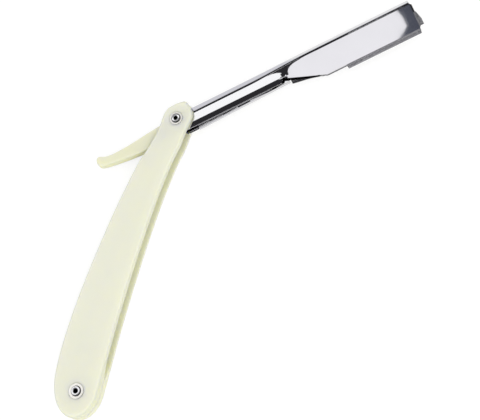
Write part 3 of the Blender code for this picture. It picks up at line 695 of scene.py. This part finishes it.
def sheet_section(outer, along, sheet):
    """Closed section of a bent sheet: the mirrored outer profile and its inward offset."""
    inner = []
    for index, point in enumerate(outer):
        ahead = outer[min(index + 1, len(outer) - 1)]
        behind = outer[index - 1] if index else Vector((outer[0].x, -outer[0].y))
        along_sheet = (ahead - behind).normalized()
        inward = Vector((along_sheet.y, -along_sheet.x))
        inner.append(point + sheet * inward * (-1 if inward.y > 0 else 1))
    top = outer[0].x - sheet
    fold = sheet / 8
    inner = [Vector((min(p.x, top), max(p.y, fold))) for p in inner]
    inner[0] = Vector((top, fold))
    ring = [(along, p.x, p.y) for p in reversed(outer)]
    ring += [(along, p.x, -p.y) for p in outer]
    ring += [(along, p.x, -p.y) for p in reversed(inner)]
    ring += [(along, p.x, p.y) for p in inner]
    return ring


def sheath_stations():
    """Places along the arm where the sheath's section is drawn."""
    corners = [
        -TAIL_LENGTH,
        SPINE_START,
        SHANK_LENGTH,
        SHOULDER_START,
        HEAD_START,
        SHEATH_END,
    ]
    stations = []
    for start, end in zip(corners, corners[1:]):
        steps = math.ceil((end - start) / STATION_STEP)
        stations += [blend(start, end, step / steps) for step in range(steps)]
    return stations + [SHEATH_END]


def tang_pin_centre():
    """Place of the pin in the middle of the tang's plug."""
    return (-TAIL_LENGTH + TANG_PLUG_LENGTH / 2, (PLUG_TOP + PLUG_BOTTOM) / 2)


def make_sheath():
    """Folded outer holder: spine up, cheeks down, with the spine cut away round the pivot."""
    bm = bmesh.new()
    bridge_rings(
        bm, [sheet_section(sheath_half_section(s), s, SHEET) for s in sheath_stations()]
    )
    opening_half = ARM_HALF_WIDTH - EAR_WALL
    hole_radius = PIVOT_SHAFT_RADIUS + HOLE_CLEARANCE
    web = box(
        (-CARRIER_EYE_RADIUS - EYE_ROOM, hole_radius + SEAT_GAP, -opening_half),
        (SPINE_START, 2 * SPINE_RISE, opening_half),
    )
    pivot = cylinder(hole_radius, -SLOT_WIDTH, SLOT_WIDTH)
    pin = cylinder(TANG_PIN_RADIUS + HOLE_CLEARANCE, -SLOT_WIDTH, SLOT_WIDTH, tang_pin_centre())
    return make_piece("folded_sheath", bm, ARM_PLACE, (web, pivot, pin))


def web_share(along):
    """How far along the serrated strip a place lies: 0 at its start and 1 at the shank's end."""
    return (along - CARRIER_WEB_START) / (SHANK_LENGTH - CARRIER_WEB_START)


def web_depth(along):
    """Depth of the serrated strip, which rises a little towards the head."""
    return CARRIER_WEB_DEPTH - web_share(along) * CARRIER_WEB_RISE


def channel_side(along, top, valley, inset):
    """Half of a channel's section: upright, then leaning in, bevelled and rounded."""
    share = web_share(along)
    edge = -blend(CHANNEL_EDGE_START, CHANNEL_EDGE_END, share)
    bottom = -web_depth(along) - blend(CHANNEL_SAG, CHANNEL_SAG / 2, share)
    bottom += min(valley + inset, CHANNEL_VALLEY_SHARE * (edge - bottom))
    top = max(top, edge + SEAT_GAP)
    lean_top = min(CHANNEL_LEAN_TOP, top - SEAT_GAP / 2)
    side = []
    for height in (top, lean_top, edge):
        lean = max(CHANNEL_LEAN_TOP - height, 0.0) * math.tan(CHANNEL_LEAN)
        side.append((height, CARRIER_HALF_WIDTH - inset - lean))
    radius = min(CHANNEL_ROUND, (edge - bottom) / CHANNEL_ROUND_FALL)
    fall = edge - bottom - radius * (1 - math.sin(CHANNEL_BEVEL))
    half = side[-1][1] - fall * math.tan(CHANNEL_BEVEL) - valley / 2
    bevel = math.degrees(CHANNEL_BEVEL)
    for reach, drop in arc((0.0, 0.0), radius, bevel, 90, CHANNEL_STEPS):
        width = half * reach / (radius * math.cos(CHANNEL_BEVEL))
        side.append((bottom + radius - drop, width))
    return side


def channel_section(along, top, valley):
    """Closed section of the U-shaped finger strip."""
    outer = channel_side(along, top, valley, 0.0)
    inner = channel_side(along, top, valley, LEAF_SHEET)
    ring = [(along, height, width) for height, width in outer]
    ring += [(along, height, -width) for height, width in reversed(outer[:-1])]
    ring += [(along, height, -width) for height, width in inner]
    ring += [(along, height, width) for height, width in reversed(inner[:-1])]
    return ring


def grip_stations():
    """Places along the serrated strip, with how deep a tooth's valley is there."""
    stations = []
    teeth = int((GRIP_END - GRIP_START) / GRIP_PITCH)
    for tooth in range(teeth):
        for step in range(GRIP_STEPS):
            share = step / GRIP_STEPS
            valley = GRIP_DEPTH * (0.5 + 0.5 * math.cos(2 * math.pi * share)) ** 2
            stations.append((GRIP_START + (tooth + share) * GRIP_PITCH, valley))
    stations.append((GRIP_START + teeth * GRIP_PITCH, 0.0))
    return stations


def leaf_body(stations, sheet):
    """Sheet whose top, bottom and middle plane are given at stations along the arm."""
    bm = bmesh.new()
    rings = []
    for along, top, bottom, middle in stations:
        near, far = middle - sheet / 2, middle + sheet / 2
        rings.append(
            [(along, top, near), (along, top, far), (along, bottom, far), (along, bottom, near)]
        )
    bridge_rings(bm, rings)
    return bm


def cheek_stations(middle, root_depth):
    """A carrier cheek from its round end behind the pivot to the start of the channel."""
    stations = []
    for step in range(1, EYE_STEPS + 1):
        turn = math.pi / 2 * step / EYE_STEPS
        half = CARRIER_EYE_RADIUS * math.sin(turn)
        stations.append((-CARRIER_EYE_RADIUS * math.cos(turn), half, -half, middle))
    stations += [
        (PIVOT_SHAFT_RADIUS, CARRIER_EYE_RADIUS, -root_depth, middle),
        (SPINE_START - SEAT_GAP, CARRIER_EYE_RADIUS / 2, -root_depth, middle),
        (CARRIER_WEB_START, CARRIER_TOP, -root_depth, middle),
        (GRIP_START + GRIP_PITCH, CARRIER_TOP, -root_depth, middle),
    ]
    return stations


def channel_body():
    """The U-shaped finger strip, serrated over its first part."""
    bm = bmesh.new()
    end = SHANK_LENGTH - LEAF_STEP
    web_end = SHANK_LENGTH + CARRIER_WEB_OVERRUN
    rings = []
    for along, valley in grip_stations() + [(end, 0.0)]:
        rings.append(channel_section(along, CARRIER_TOP, valley))
    for share in CHANNEL_END_SHARES:
        rings.append(channel_section(blend(end, web_end, share), -CARRIER_WEB_DEPTH, 0.0))
    bridge_rings(bm, rings)
    return bm


def peg_centres():
    """Places of the two studs that hold the blade by its notches."""
    edge_height = -HEAD_DEPTH - BLADE_EXPOSURE
    middle = SHEATH_END - BLADE_END_SETBACK - BLADE_EDGE_LENGTH / 2
    half = BLADE_NOTCH_SPACING / 2
    return tuple((middle + side * half, edge_height + BLADE_WIDTH) for side in (-1, 1))


def make_carrier():
    """Inner leaf: two cheeks and a rounded finger strip in the shank, a flat leaf in the head."""
    side = CARRIER_HALF_WIDTH - LEAF_SHEET / 2
    leaf_top = SPINE_RISE - 2 * SHEET - LEAF_MARGIN / 2
    leaf_bottom = -HEAD_DEPTH + LEAF_MARGIN
    step_up = SHANK_LENGTH - LEAF_STEP
    step_bottom = LEAF_ROOT_RISE - web_depth(step_up)
    web_end = SHANK_LENGTH + CARRIER_WEB_OVERRUN - GRIP_PITCH
    leaf_start = web_end + LEAF_LEAD
    tip = SHEATH_END + CARRIER_TIP_OVERHANG
    line = [(leaf_start + reach * MM, -drop * MM) for reach, drop in LEAF_LOWER_EDGE]
    stations = [
        (step_up - LEAF_SHEET, CARRIER_TOP, step_bottom, -side),
        (SHANK_LENGTH, CARRIER_TOP, LEAF_RISE - web_depth(SHANK_LENGTH), LEAF_SINK),
        (leaf_start, leaf_top, LEAF_RISE - web_depth(web_end), LEAF_SINK),
        *((along, leaf_top, height, LEAF_SINK) for along, height in line),
        (HEAD_START, leaf_top, leaf_bottom, 0.0),
        (SHEATH_END, leaf_top, leaf_bottom, 0.0),
        (tip, leaf_top - LEAF_MARGIN, leaf_bottom + LEAF_MARGIN, 0.0),
    ]
    joins = (
        leaf_body(cheek_stations(side, FRONT_ROOT_DEPTH), LEAF_SHEET),
        leaf_body(cheek_stations(-side, CARRIER_ROOT_DEPTH), LEAF_SHEET),
        leaf_body(stations, LEAF_SHEET),
    )
    cuts = [cylinder(PIVOT_SHAFT_RADIUS + HOLE_CLEARANCE, -SLOT_WIDTH, SLOT_WIDTH)]
    for centre in peg_centres():
        cuts.append(cylinder(PEG_RADIUS + HOLE_CLEARANCE, -SLOT_WIDTH, SLOT_WIDTH, centre))
    return make_piece("carrier_leaf", channel_body(), ARM_PLACE, cuts, joins)


def make_blade(node):
    """The half blade, with its ground edge a little lower as the photograph shows it."""
    mesh = node.data.copy()
    mesh.transform(ARM_PLACE.inverted() @ node.matrix_world)
    for vertex in mesh.vertices:
        if vertex.co.y < -HEAD_DEPTH:
            vertex.co.y -= BLADE_DROP
    mesh.transform(ARM_PLACE)
    mesh.set_sharp_from_angle(angle=BLADE_SMOOTH_ANGLE)
    return new_object("half_blade", mesh)


def rounded_section(along, top, bottom, half, radius):
    """Closed rectangular section with quarter-round corners."""
    ring = []
    corners = ((top, half, 1, 1), (top, half, 1, -1), (bottom, half, -1, -1), (bottom, half, -1, 1))
    for quarter, (height, width, up, out) in enumerate(corners):
        for step in range(ROUND_STEPS + 1):
            share = step / ROUND_STEPS
            turn = math.pi / 2 * (1 - share if quarter % 2 else share)
            ring.append(
                (
                    along,
                    height - up * radius * (1 - math.sin(turn)),
                    out * (width - radius * (1 - math.cos(turn))),
                )
            )
    return ring


def make_tang():
    """Thumb lever with a thinner plug that enters the sheath's tail."""
    root = -TAIL_LENGTH - SIDE_GAP
    length = TANG_LENGTH - TAIL_LENGTH - SIDE_GAP
    rings = []
    for share, top, bottom in smooth_path(TANG_PROFILE, TANG_STEPS):
        tip = max(share - TANG_TIP_START, 0.0) / (1 - TANG_TIP_START)
        half = ARM_HALF_WIDTH - TANG_TIP_ROUND * (1 - math.sqrt(max(1 - tip * tip, 0.0)))
        top *= TANG_UNIT
        bottom *= TANG_UNIT
        radius = min(TANG_EDGE_ROUND, (top - bottom) / 3)
        rings.append(rounded_section(root - share * length, top, bottom, half, radius))
    bm = bmesh.new()
    bridge_rings(bm, rings)
    plug_half = ARM_HALF_WIDTH - SHEET - SIDE_GAP
    plug = box(
        (root - TANG_PLUG_LENGTH, PLUG_BOTTOM, -plug_half),
        (root + TANG_PLUG_LENGTH, PLUG_TOP, plug_half),
    )
    pin = cylinder(TANG_PIN_RADIUS + HOLE_CLEARANCE, -SLOT_WIDTH, SLOT_WIDTH, tang_pin_centre())
    return make_piece("thumb_tang", bm, ARM_PLACE, (pin,), (plug,))


# Nodes of materials


def new_shader(name):
    """New material with its node tree and its main shader."""
    material = bpy.data.materials.new(name)
    material.use_nodes = True
    tree = material.node_tree
    return material, tree, tree.nodes["Principled BSDF"]


def fill(tree, socket, value):
    """Sets an input; a value that is a socket is linked."""
    if isinstance(value, bpy.types.NodeSocket):
        tree.links.new(value, socket)
    else:
        socket.default_value = value


def set_inputs(tree, node, **values):
    """Sets a node's inputs by name, with underscores for spaces."""
    for name, value in values.items():
        fill(tree, node.inputs[name.replace("_", " ")], value)


def add_node(tree, kind, **values):
    """New node with its named inputs set."""
    node = tree.nodes.new(kind)
    set_inputs(tree, node, **values)
    return node


def worked_out(tree, kind, operation, *values):
    """Result of a maths node, for numbers or for colours."""
    node = tree.nodes.new(kind)
    node.operation = operation
    for socket, value in zip(node.inputs, values):
        fill(tree, socket, value)
    return node.outputs[0]


def between(tree, value, low, high):
    """Maps 0 to 1 onto a range."""
    node = add_node(tree, "ShaderNodeMapRange", Value=value, To_Min=low, To_Max=high)
    return node.outputs["Result"]


def ramp(tree, value, start, end):
    """0 up to the start value and 1 from the end value on."""
    node = add_node(tree, "ShaderNodeMapRange", Value=value, From_Min=start, From_Max=end)
    return node.outputs["Result"]


def mixed(tree, share, first, second):
    """Mix of two colours, which are given as values or as sockets."""
    node = add_node(tree, "ShaderNodeMix")
    node.data_type = "RGBA"
    set_inputs(tree, node, Factor=share, A=first, B=second)
    return node.outputs["Result"]


def frame_place(tree):
    """The place on the object in the frame's axes, which every piece is drawn in."""
    return tree.nodes.new("ShaderNodeTexCoord").outputs["Object"]


def height_in_frame(tree):
    """Height of the place on the object above the frame's floor."""
    return add_node(tree, "ShaderNodeSeparateXYZ", Vector=frame_place(tree)).outputs["Z"]


def facing_up(tree):
    """Upward part of the surface's normal: 1 on a front face, 0 on a side, -1 on a back face."""
    normal = tree.nodes.new("ShaderNodeNewGeometry").outputs["Normal"]
    return add_node(tree, "ShaderNodeSeparateXYZ", Vector=normal).outputs["Z"]


def noise(tree, scale, detail=3.0, stretch=(1.0, 1.0, 1.0), turn=0.0):
    """Noise whose scale is in waves per metre; stretch and turn make it streaky."""
    place = frame_place(tree)
    rotation = (0.0, 0.0, turn)
    mapping = add_node(tree, "ShaderNodeMapping", Vector=place, Rotation=rotation, Scale=stretch)
    mapping.vector_type = "TEXTURE"
    grain = mapping.outputs[0]
    node = add_node(tree, "ShaderNodeTexNoise", Vector=grain, Scale=scale, Detail=detail)
    return node.outputs["Fac"]


def bumps(tree, shader, height, distance, strength):
    """Small bumps on a surface from a changing height."""
    node = add_node(tree, "ShaderNodeBump", Height=height, Distance=distance, Strength=strength)
    set_inputs(tree, shader, Normal=node.outputs[0])


# Stage


def frame_matrix(place, target, roll):
    """Placement of a camera or lamp that looks at a target."""
    back = (Vector(place) - Vector(target)).normalized()
    hint = Vector((-math.sin(roll), math.cos(roll), 0.0))
    right = hint.cross(back).normalized()
    up = back.cross(right)
    matrix = Matrix((right, up, back)).transposed().to_4x4()
    matrix.translation = Vector(place)
    return matrix


def make_camera():
    """The photograph's camera."""
    camera = bpy.data.cameras.new("camera")
    camera.sensor_width = CAMERA_SENSOR
    camera.lens = CAMERA_LENS
    camera.clip_start = CAMERA_CLIP
    thing = bpy.data.objects.new("camera", camera)
    thing.matrix_world = frame_matrix(CAMERA_PLACE, CAMERA_TARGET, CAMERA_ROLL)
    bpy.context.scene.collection.objects.link(thing)
    bpy.context.scene.camera = thing


def stage_piece(name, bm, material):
    """Mesh of the stage, which is no part of the object."""
    thing = new_object(name, finish_mesh(bm, name))
    thing.data.materials.append(material)
    return thing


def quad(name, corners, material):
    """Flat piece of the stage with the given corners."""
    bm = bmesh.new()
    bm.faces.new([bm.verts.new(corner) for corner in corners])
    return stage_piece(name, bm, material)


def glow_material(name, colour, strength):
    """Plain light of one colour."""
    material = bpy.data.materials.new(name)
    material.use_nodes = True
    tree = material.node_tree
    tree.nodes.clear()
    glow = add_node(tree, "ShaderNodeEmission", Color=(*colour, 1.0), Strength=strength)
    add_node(tree, "ShaderNodeOutputMaterial", Surface=glow.outputs[0])
    return material


def only_in_reflections(thing):
    """Hides a piece from the camera and from everything but mirrors."""
    thing.visible_camera = False
    thing.visible_diffuse = False
    thing.visible_shadow = False
    thing.visible_transmission = False
    thing.visible_volume_scatter = False


def card(name, corners, height, colour, strength):
    """Glowing card above the arm that shows in the metal only; corners lie along and across."""
    turn = Matrix.Rotation(ARM_ANGLE, 4, "Z")
    places = [turn @ Vector((x * MM, y * MM, height)) for x, y in corners]
    only_in_reflections(quad(name, places, glow_material(name, colour, strength)))


def straight_card(name, ranges, height, colour, strength):
    """Card with straight sides, from its ranges along and across."""
    along, across = ranges
    corners = [(along[x], across[y]) for x, y in ((0, 0), (1, 0), (1, 1), (0, 1))]
    card(name, corners, height, colour, strength)


def horizon(colour, strength):
    """Ring round the object that the metal shows near the horizon."""
    bm = bmesh.new()
    rows = []
    for height in (0.0, HORIZON_HEIGHT):
        row = []
        for side in range(HORIZON_SIDES):
            turn = 2 * math.pi * side / HORIZON_SIDES
            place = (HORIZON_RADIUS * math.cos(turn), HORIZON_RADIUS * math.sin(turn))
            row.append(bm.verts.new((*place, height)))
        rows.append(row)
    for side in range(HORIZON_SIDES):
        following = (side + 1) % HORIZON_SIDES
        bm.faces.new((rows[0][side], rows[0][following], rows[1][following], rows[1][side]))
    only_in_reflections(stage_piece("horizon", bm, glow_material("horizon", colour, strength)))


def make_reflectors():
    """Everything that only shows in the metal."""
    straight_card("dark_ceiling", DARK_CEILING, CEILING_HEIGHT, DARK_GLOW, DARK_STRENGTH)
    straight_card("grey_ceiling", GREY_CEILING, CEILING_HEIGHT, (0.95, 0.95, 1.0), strength=0.2)
    card("shank_strip", SHANK_STRIP, PANEL_HEIGHT, (1.0, 1.0, 1.0), strength=1.08)
    card("head_panel", HEAD_PANEL, PANEL_HEIGHT, (0.985, 0.975, 1.0), strength=0.95)
    straight_card("tip_panel", TIP_PANEL, TIP_HEIGHT, (0.72, 0.77, 1.0), strength=0.11)
    card("blade_panel", BLADE_PANEL, PANEL_HEIGHT, (1.0, 1.0, 1.03), strength=1.9)
    straight_card("side_panel", SIDE_PANEL, SIDE_HEIGHT, (1.0, 0.99, 1.0), strength=0.66)
    straight_card("dark_side", DARK_SIDE, SIDE_HEIGHT, DARK_GLOW, DARK_STRENGTH)
    horizon((0.98, 0.975, 1.03), strength=0.7)


def floor_material():
    """Pale floor that shows white to the camera and keeps the object's shadow."""
    material, tree, shader = new_shader("floor")
    rays = tree.nodes.new("ShaderNodeLightPath").outputs
    seen = worked_out(tree, "ShaderNodeMath", "MULTIPLY", rays["Is Camera Ray"], FLOOR_SEEN_GLOW)
    mirrored = rays["Is Glossy Ray"]
    glow = worked_out(
        tree, "ShaderNodeMath", "MULTIPLY_ADD", mirrored, FLOOR_MIRRORED_GLOW, seen
    )
    set_inputs(
        tree,
        shader,
        Base_Color=mixed(tree, rays["Is Camera Ray"], FLOOR_COLOUR, FLOOR_SEEN_COLOUR),
        Roughness=0.7,
        Specular_IOR_Level=0.1,
        Emission_Color=(1.0, 1.0, 1.0, 1.0),
        Emission_Strength=glow,
    )
    return material


def make_world():
    """White for the camera and the mirrors, and a little less light on the object."""
    world = bpy.data.worlds.new("studio")
    bpy.context.scene.world = world
    world.use_nodes = True
    tree = world.node_tree
    rays = tree.nodes.new("ShaderNodeLightPath").outputs
    white = rays["Is Camera Ray"]
    for kind in ("Is Glossy Ray", "Is Transmission Ray"):
        white = worked_out(tree, "ShaderNodeMath", "MAXIMUM", white, rays[kind])
    strength = between(tree, white, WORLD_STRENGTH, 1.0)
    set_inputs(tree, tree.nodes["Background"], Color=(1.0, 1.0, 1.0, 1.0), Strength=strength)


def make_lamp(name, place, size, power, colour):
    """Round soft lamp that mirrors don't show."""
    lamp = bpy.data.lights.new(name, "AREA")
    lamp.color = colour
    lamp.shape = "DISK"
    lamp.size = size
    lamp.energy = power
    thing = bpy.data.objects.new(name, lamp)
    thing.matrix_world = frame_matrix(place, LAMP_TARGET, 0.0)
    thing.visible_glossy = False
    bpy.context.scene.collection.objects.link(thing)


def make_stage():
    """Floor, world, reflections and lamps."""
    signs = ((-1, -1), (1, -1), (1, 1), (-1, 1))
    corners = [(x * FLOOR_REACH, y * FLOOR_REACH, -FLOOR_DROP) for x, y in signs]
    quad("floor", corners, floor_material())
    make_world()
    make_reflectors()
    make_lamp("key", (-0.1, 0.15, 0.95), size=0.9, power=0.4, colour=(0.98, 0.98, 1.0))
    make_lamp("fill", (0.87, -0.55, 0.84), size=0.7, power=4.9, colour=(1.0, 0.975, 0.88))


# Materials


def painted_bounce_light_share(tree):
    """0 on the outer faces and 1 deep between the scales, where painted warm bounce light makes the
    plastic yellower and brighter.
    """
    depth = ramp(tree, height_in_frame(tree), TOTAL_THICKNESS, TOTAL_THICKNESS - BOUNCE_LIGHT_FADE)
    not_below = ramp(tree, facing_up(tree), start=-0.9, end=-0.3)
    return worked_out(tree, "ShaderNodeMath", "MULTIPLY", depth, not_below)


def cream_plastic(name, painted_shade_tint):
    """Moulded cream plastic: soft light inside, faint clouds, fine polish marks, rims darkened by
    painted shade, and painted warm light deep between the scales.
    """
    material, tree, shader = new_shader(name)
    clouds = mixed(tree, noise(tree, scale=60.0, detail=4.0), FACE_WARM, FACE_COOL)
    # Painted shade: faces that turn away from straight up take the darker rim colour
    rim = ramp(tree, facing_up(tree), start=0.995, end=0.6)
    face = mixed(tree, rim, clouds, RIM_PAINTED_SHADE)
    # Painted warm bounce light deep between the scales
    colour = mixed(tree, painted_bounce_light_share(tree), face, DEEP_PAINTED_BOUNCE_LIGHT)
    set_inputs(
        tree,
        shader,
        Base_Color=worked_out(tree, "ShaderNodeVectorMath", "MULTIPLY", colour, painted_shade_tint),
        Roughness=between(tree, noise(tree, scale=300.0), low=0.26, high=0.38),
        Subsurface_Weight=1.0,
        Subsurface_Radius=(1.0, 0.97, 0.6),
        Subsurface_Scale=4.0 * MM,
    )
    bumps(tree, shader, noise(tree, scale=90.0), distance=0.04 * MM, strength=0.5)
    return material


def scaled(tree, colour, factor):
    """A colour times a changing level; the node has its scale once its operation is set."""
    node = tree.nodes.new("ShaderNodeVectorMath")
    node.operation = "SCALE"
    node.inputs[0].default_value = colour
    set_inputs(tree, node, Scale=factor)
    return node.outputs[0]


def chrome():
    """Mirror plating: polish streaks across the arm and a trace of waviness."""
    material, tree, shader = new_shader("polished_chrome_fine")
    streaks = noise(tree, scale=900.0, detail=2.0, stretch=(1.0, 12.0, 1.0), turn=ARM_ANGLE)
    shade = between(tree, noise(tree, scale=120.0), low=0.97, high=1.02)
    set_inputs(
        tree,
        shader,
        Base_Color=scaled(tree, CHROME_COLOUR, shade),
        Metallic=1.0,
        Roughness=between(tree, streaks, low=0.02, high=0.055),
    )
    waves = noise(tree, scale=160.0, detail=1.0)
    bumps(tree, shader, waves, distance=0.0005 * MM, strength=1.0)
    return material


def recess_shaded_metal(name, colour, unshaded_height, full_shade_height, metallic, roughness):
    """Plated metal with painted shade that darkens it between two heights: in a rivet's bore and
    around its rim.
    """
    material, tree, shader = new_shader(name)
    low, high = TOTAL_THICKNESS + full_shade_height, TOTAL_THICKNESS + unshaded_height
    # Painted shade: the colour darkens with depth in the bore and around the rim
    level = between(tree, ramp(tree, height_in_frame(tree), low, high), RECESS_PAINTED_SHADE, 1.0)
    grain = noise(tree, scale=2500.0)
    set_inputs(
        tree,
        shader,
        Base_Color=scaled(tree, colour, level),
        Metallic=metallic,
        Roughness=between(tree, grain, 0.6 * roughness, 1.4 * roughness),
    )
    return material


def blade_steel():
    """Ground steel: grinding lines square to the edge."""
    material, tree, shader = new_shader("blade_steel_fine")
    lines = noise(tree, scale=2500.0, stretch=(1.0, 25.0, 1.0), turn=ARM_ANGLE)
    set_inputs(
        tree,
        shader,
        Base_Color=scaled(tree, STEEL_COLOUR, between(tree, lines, low=0.75, high=1.25)),
        Metallic=1.0,
        Roughness=between(tree, lines, low=0.2, high=0.3),
    )
    return material


def dress_node(node, material):
    """Gives a CAD node that stays visible its material and smooth shading."""
    node.data.materials.clear()
    node.data.materials.append(material)
    node.data.shade_smooth()
    node.data.set_sharp_from_angle(angle=NODE_SMOOTH_ANGLE)


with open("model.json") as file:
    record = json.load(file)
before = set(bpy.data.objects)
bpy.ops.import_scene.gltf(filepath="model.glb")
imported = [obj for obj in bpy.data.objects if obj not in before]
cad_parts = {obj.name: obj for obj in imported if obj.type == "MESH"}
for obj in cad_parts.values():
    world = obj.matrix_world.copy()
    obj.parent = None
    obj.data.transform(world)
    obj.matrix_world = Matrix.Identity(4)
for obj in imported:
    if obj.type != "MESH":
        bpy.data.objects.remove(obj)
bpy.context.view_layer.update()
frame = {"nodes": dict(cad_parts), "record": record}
make_camera()
make_stage()
cream = cream_plastic("cream_plastic_fine", (1.0, 1.0, 1.0))
# Painted shade: the tang takes a darker copy of the handle's plastic
tang_cream_painted_shade = cream_plastic("tang_plastic_painted_shade", TANG_PAINTED_SHADE)
metal = chrome()
# Rivets and collars carry painted shade in their bores and grooves
rivet = recess_shaded_metal(
    "rivet_metal_fine",
    RIVET_COLOUR,
    unshaded_height=0.45 * MM,
    full_shade_height=0.2 * MM,
    metallic=1.0,
    roughness=0.035,
)
collar_metal = recess_shaded_metal(
    "collar_metal_fine",
    COLLAR_COLOUR,
    unshaded_height=0.02 * MM,
    full_shade_height=-0.12 * MM,
    metallic=0.35,
    roughness=0.3,
)
steel = blade_steel()
SLOTS = {"cream_plastic": cream, "polished_chrome": metal, "blade_steel": steel}
for entry in frame["record"]["subparts"]:
    dress_node(frame["nodes"][entry["node"]], SLOTS[entry["material_slot"]])
dress(make_scale("front_handle_scale", 1), "front_scale", "handle", cream)
dress(make_scale("back_handle_scale", -1), "back_scale", "handle", cream)
bores = (PIVOT_BORE_RADIUS, END_BORE_RADIUS)
for end, place, bore in zip(("pivot", "end"), rivet_places(), bores):
    centre, shaft, collar = place
    piece = make_rivet(end + "_tube_rivet", centre, shaft, bore)
    dress(piece, end + "_rivet", "handle", rivet)
    piece = make_collar(end + "_dished_collar", centre, shaft, collar)
    dress(piece, end + "_collar", "handle", collar_metal)
dress(make_sheath(), "blade_sheath", "arm", metal)
dress(make_tang(), "tang", "arm", tang_cream_painted_shade)
dress(make_carrier(), "blade_carrier", "carrier", metal)
dress(make_blade(frame["nodes"]["blade"]), "blade", "carrier", steel)
bpy.context.scene.view_settings.view_transform = "Standard"
bpy.context.view_layer.update()
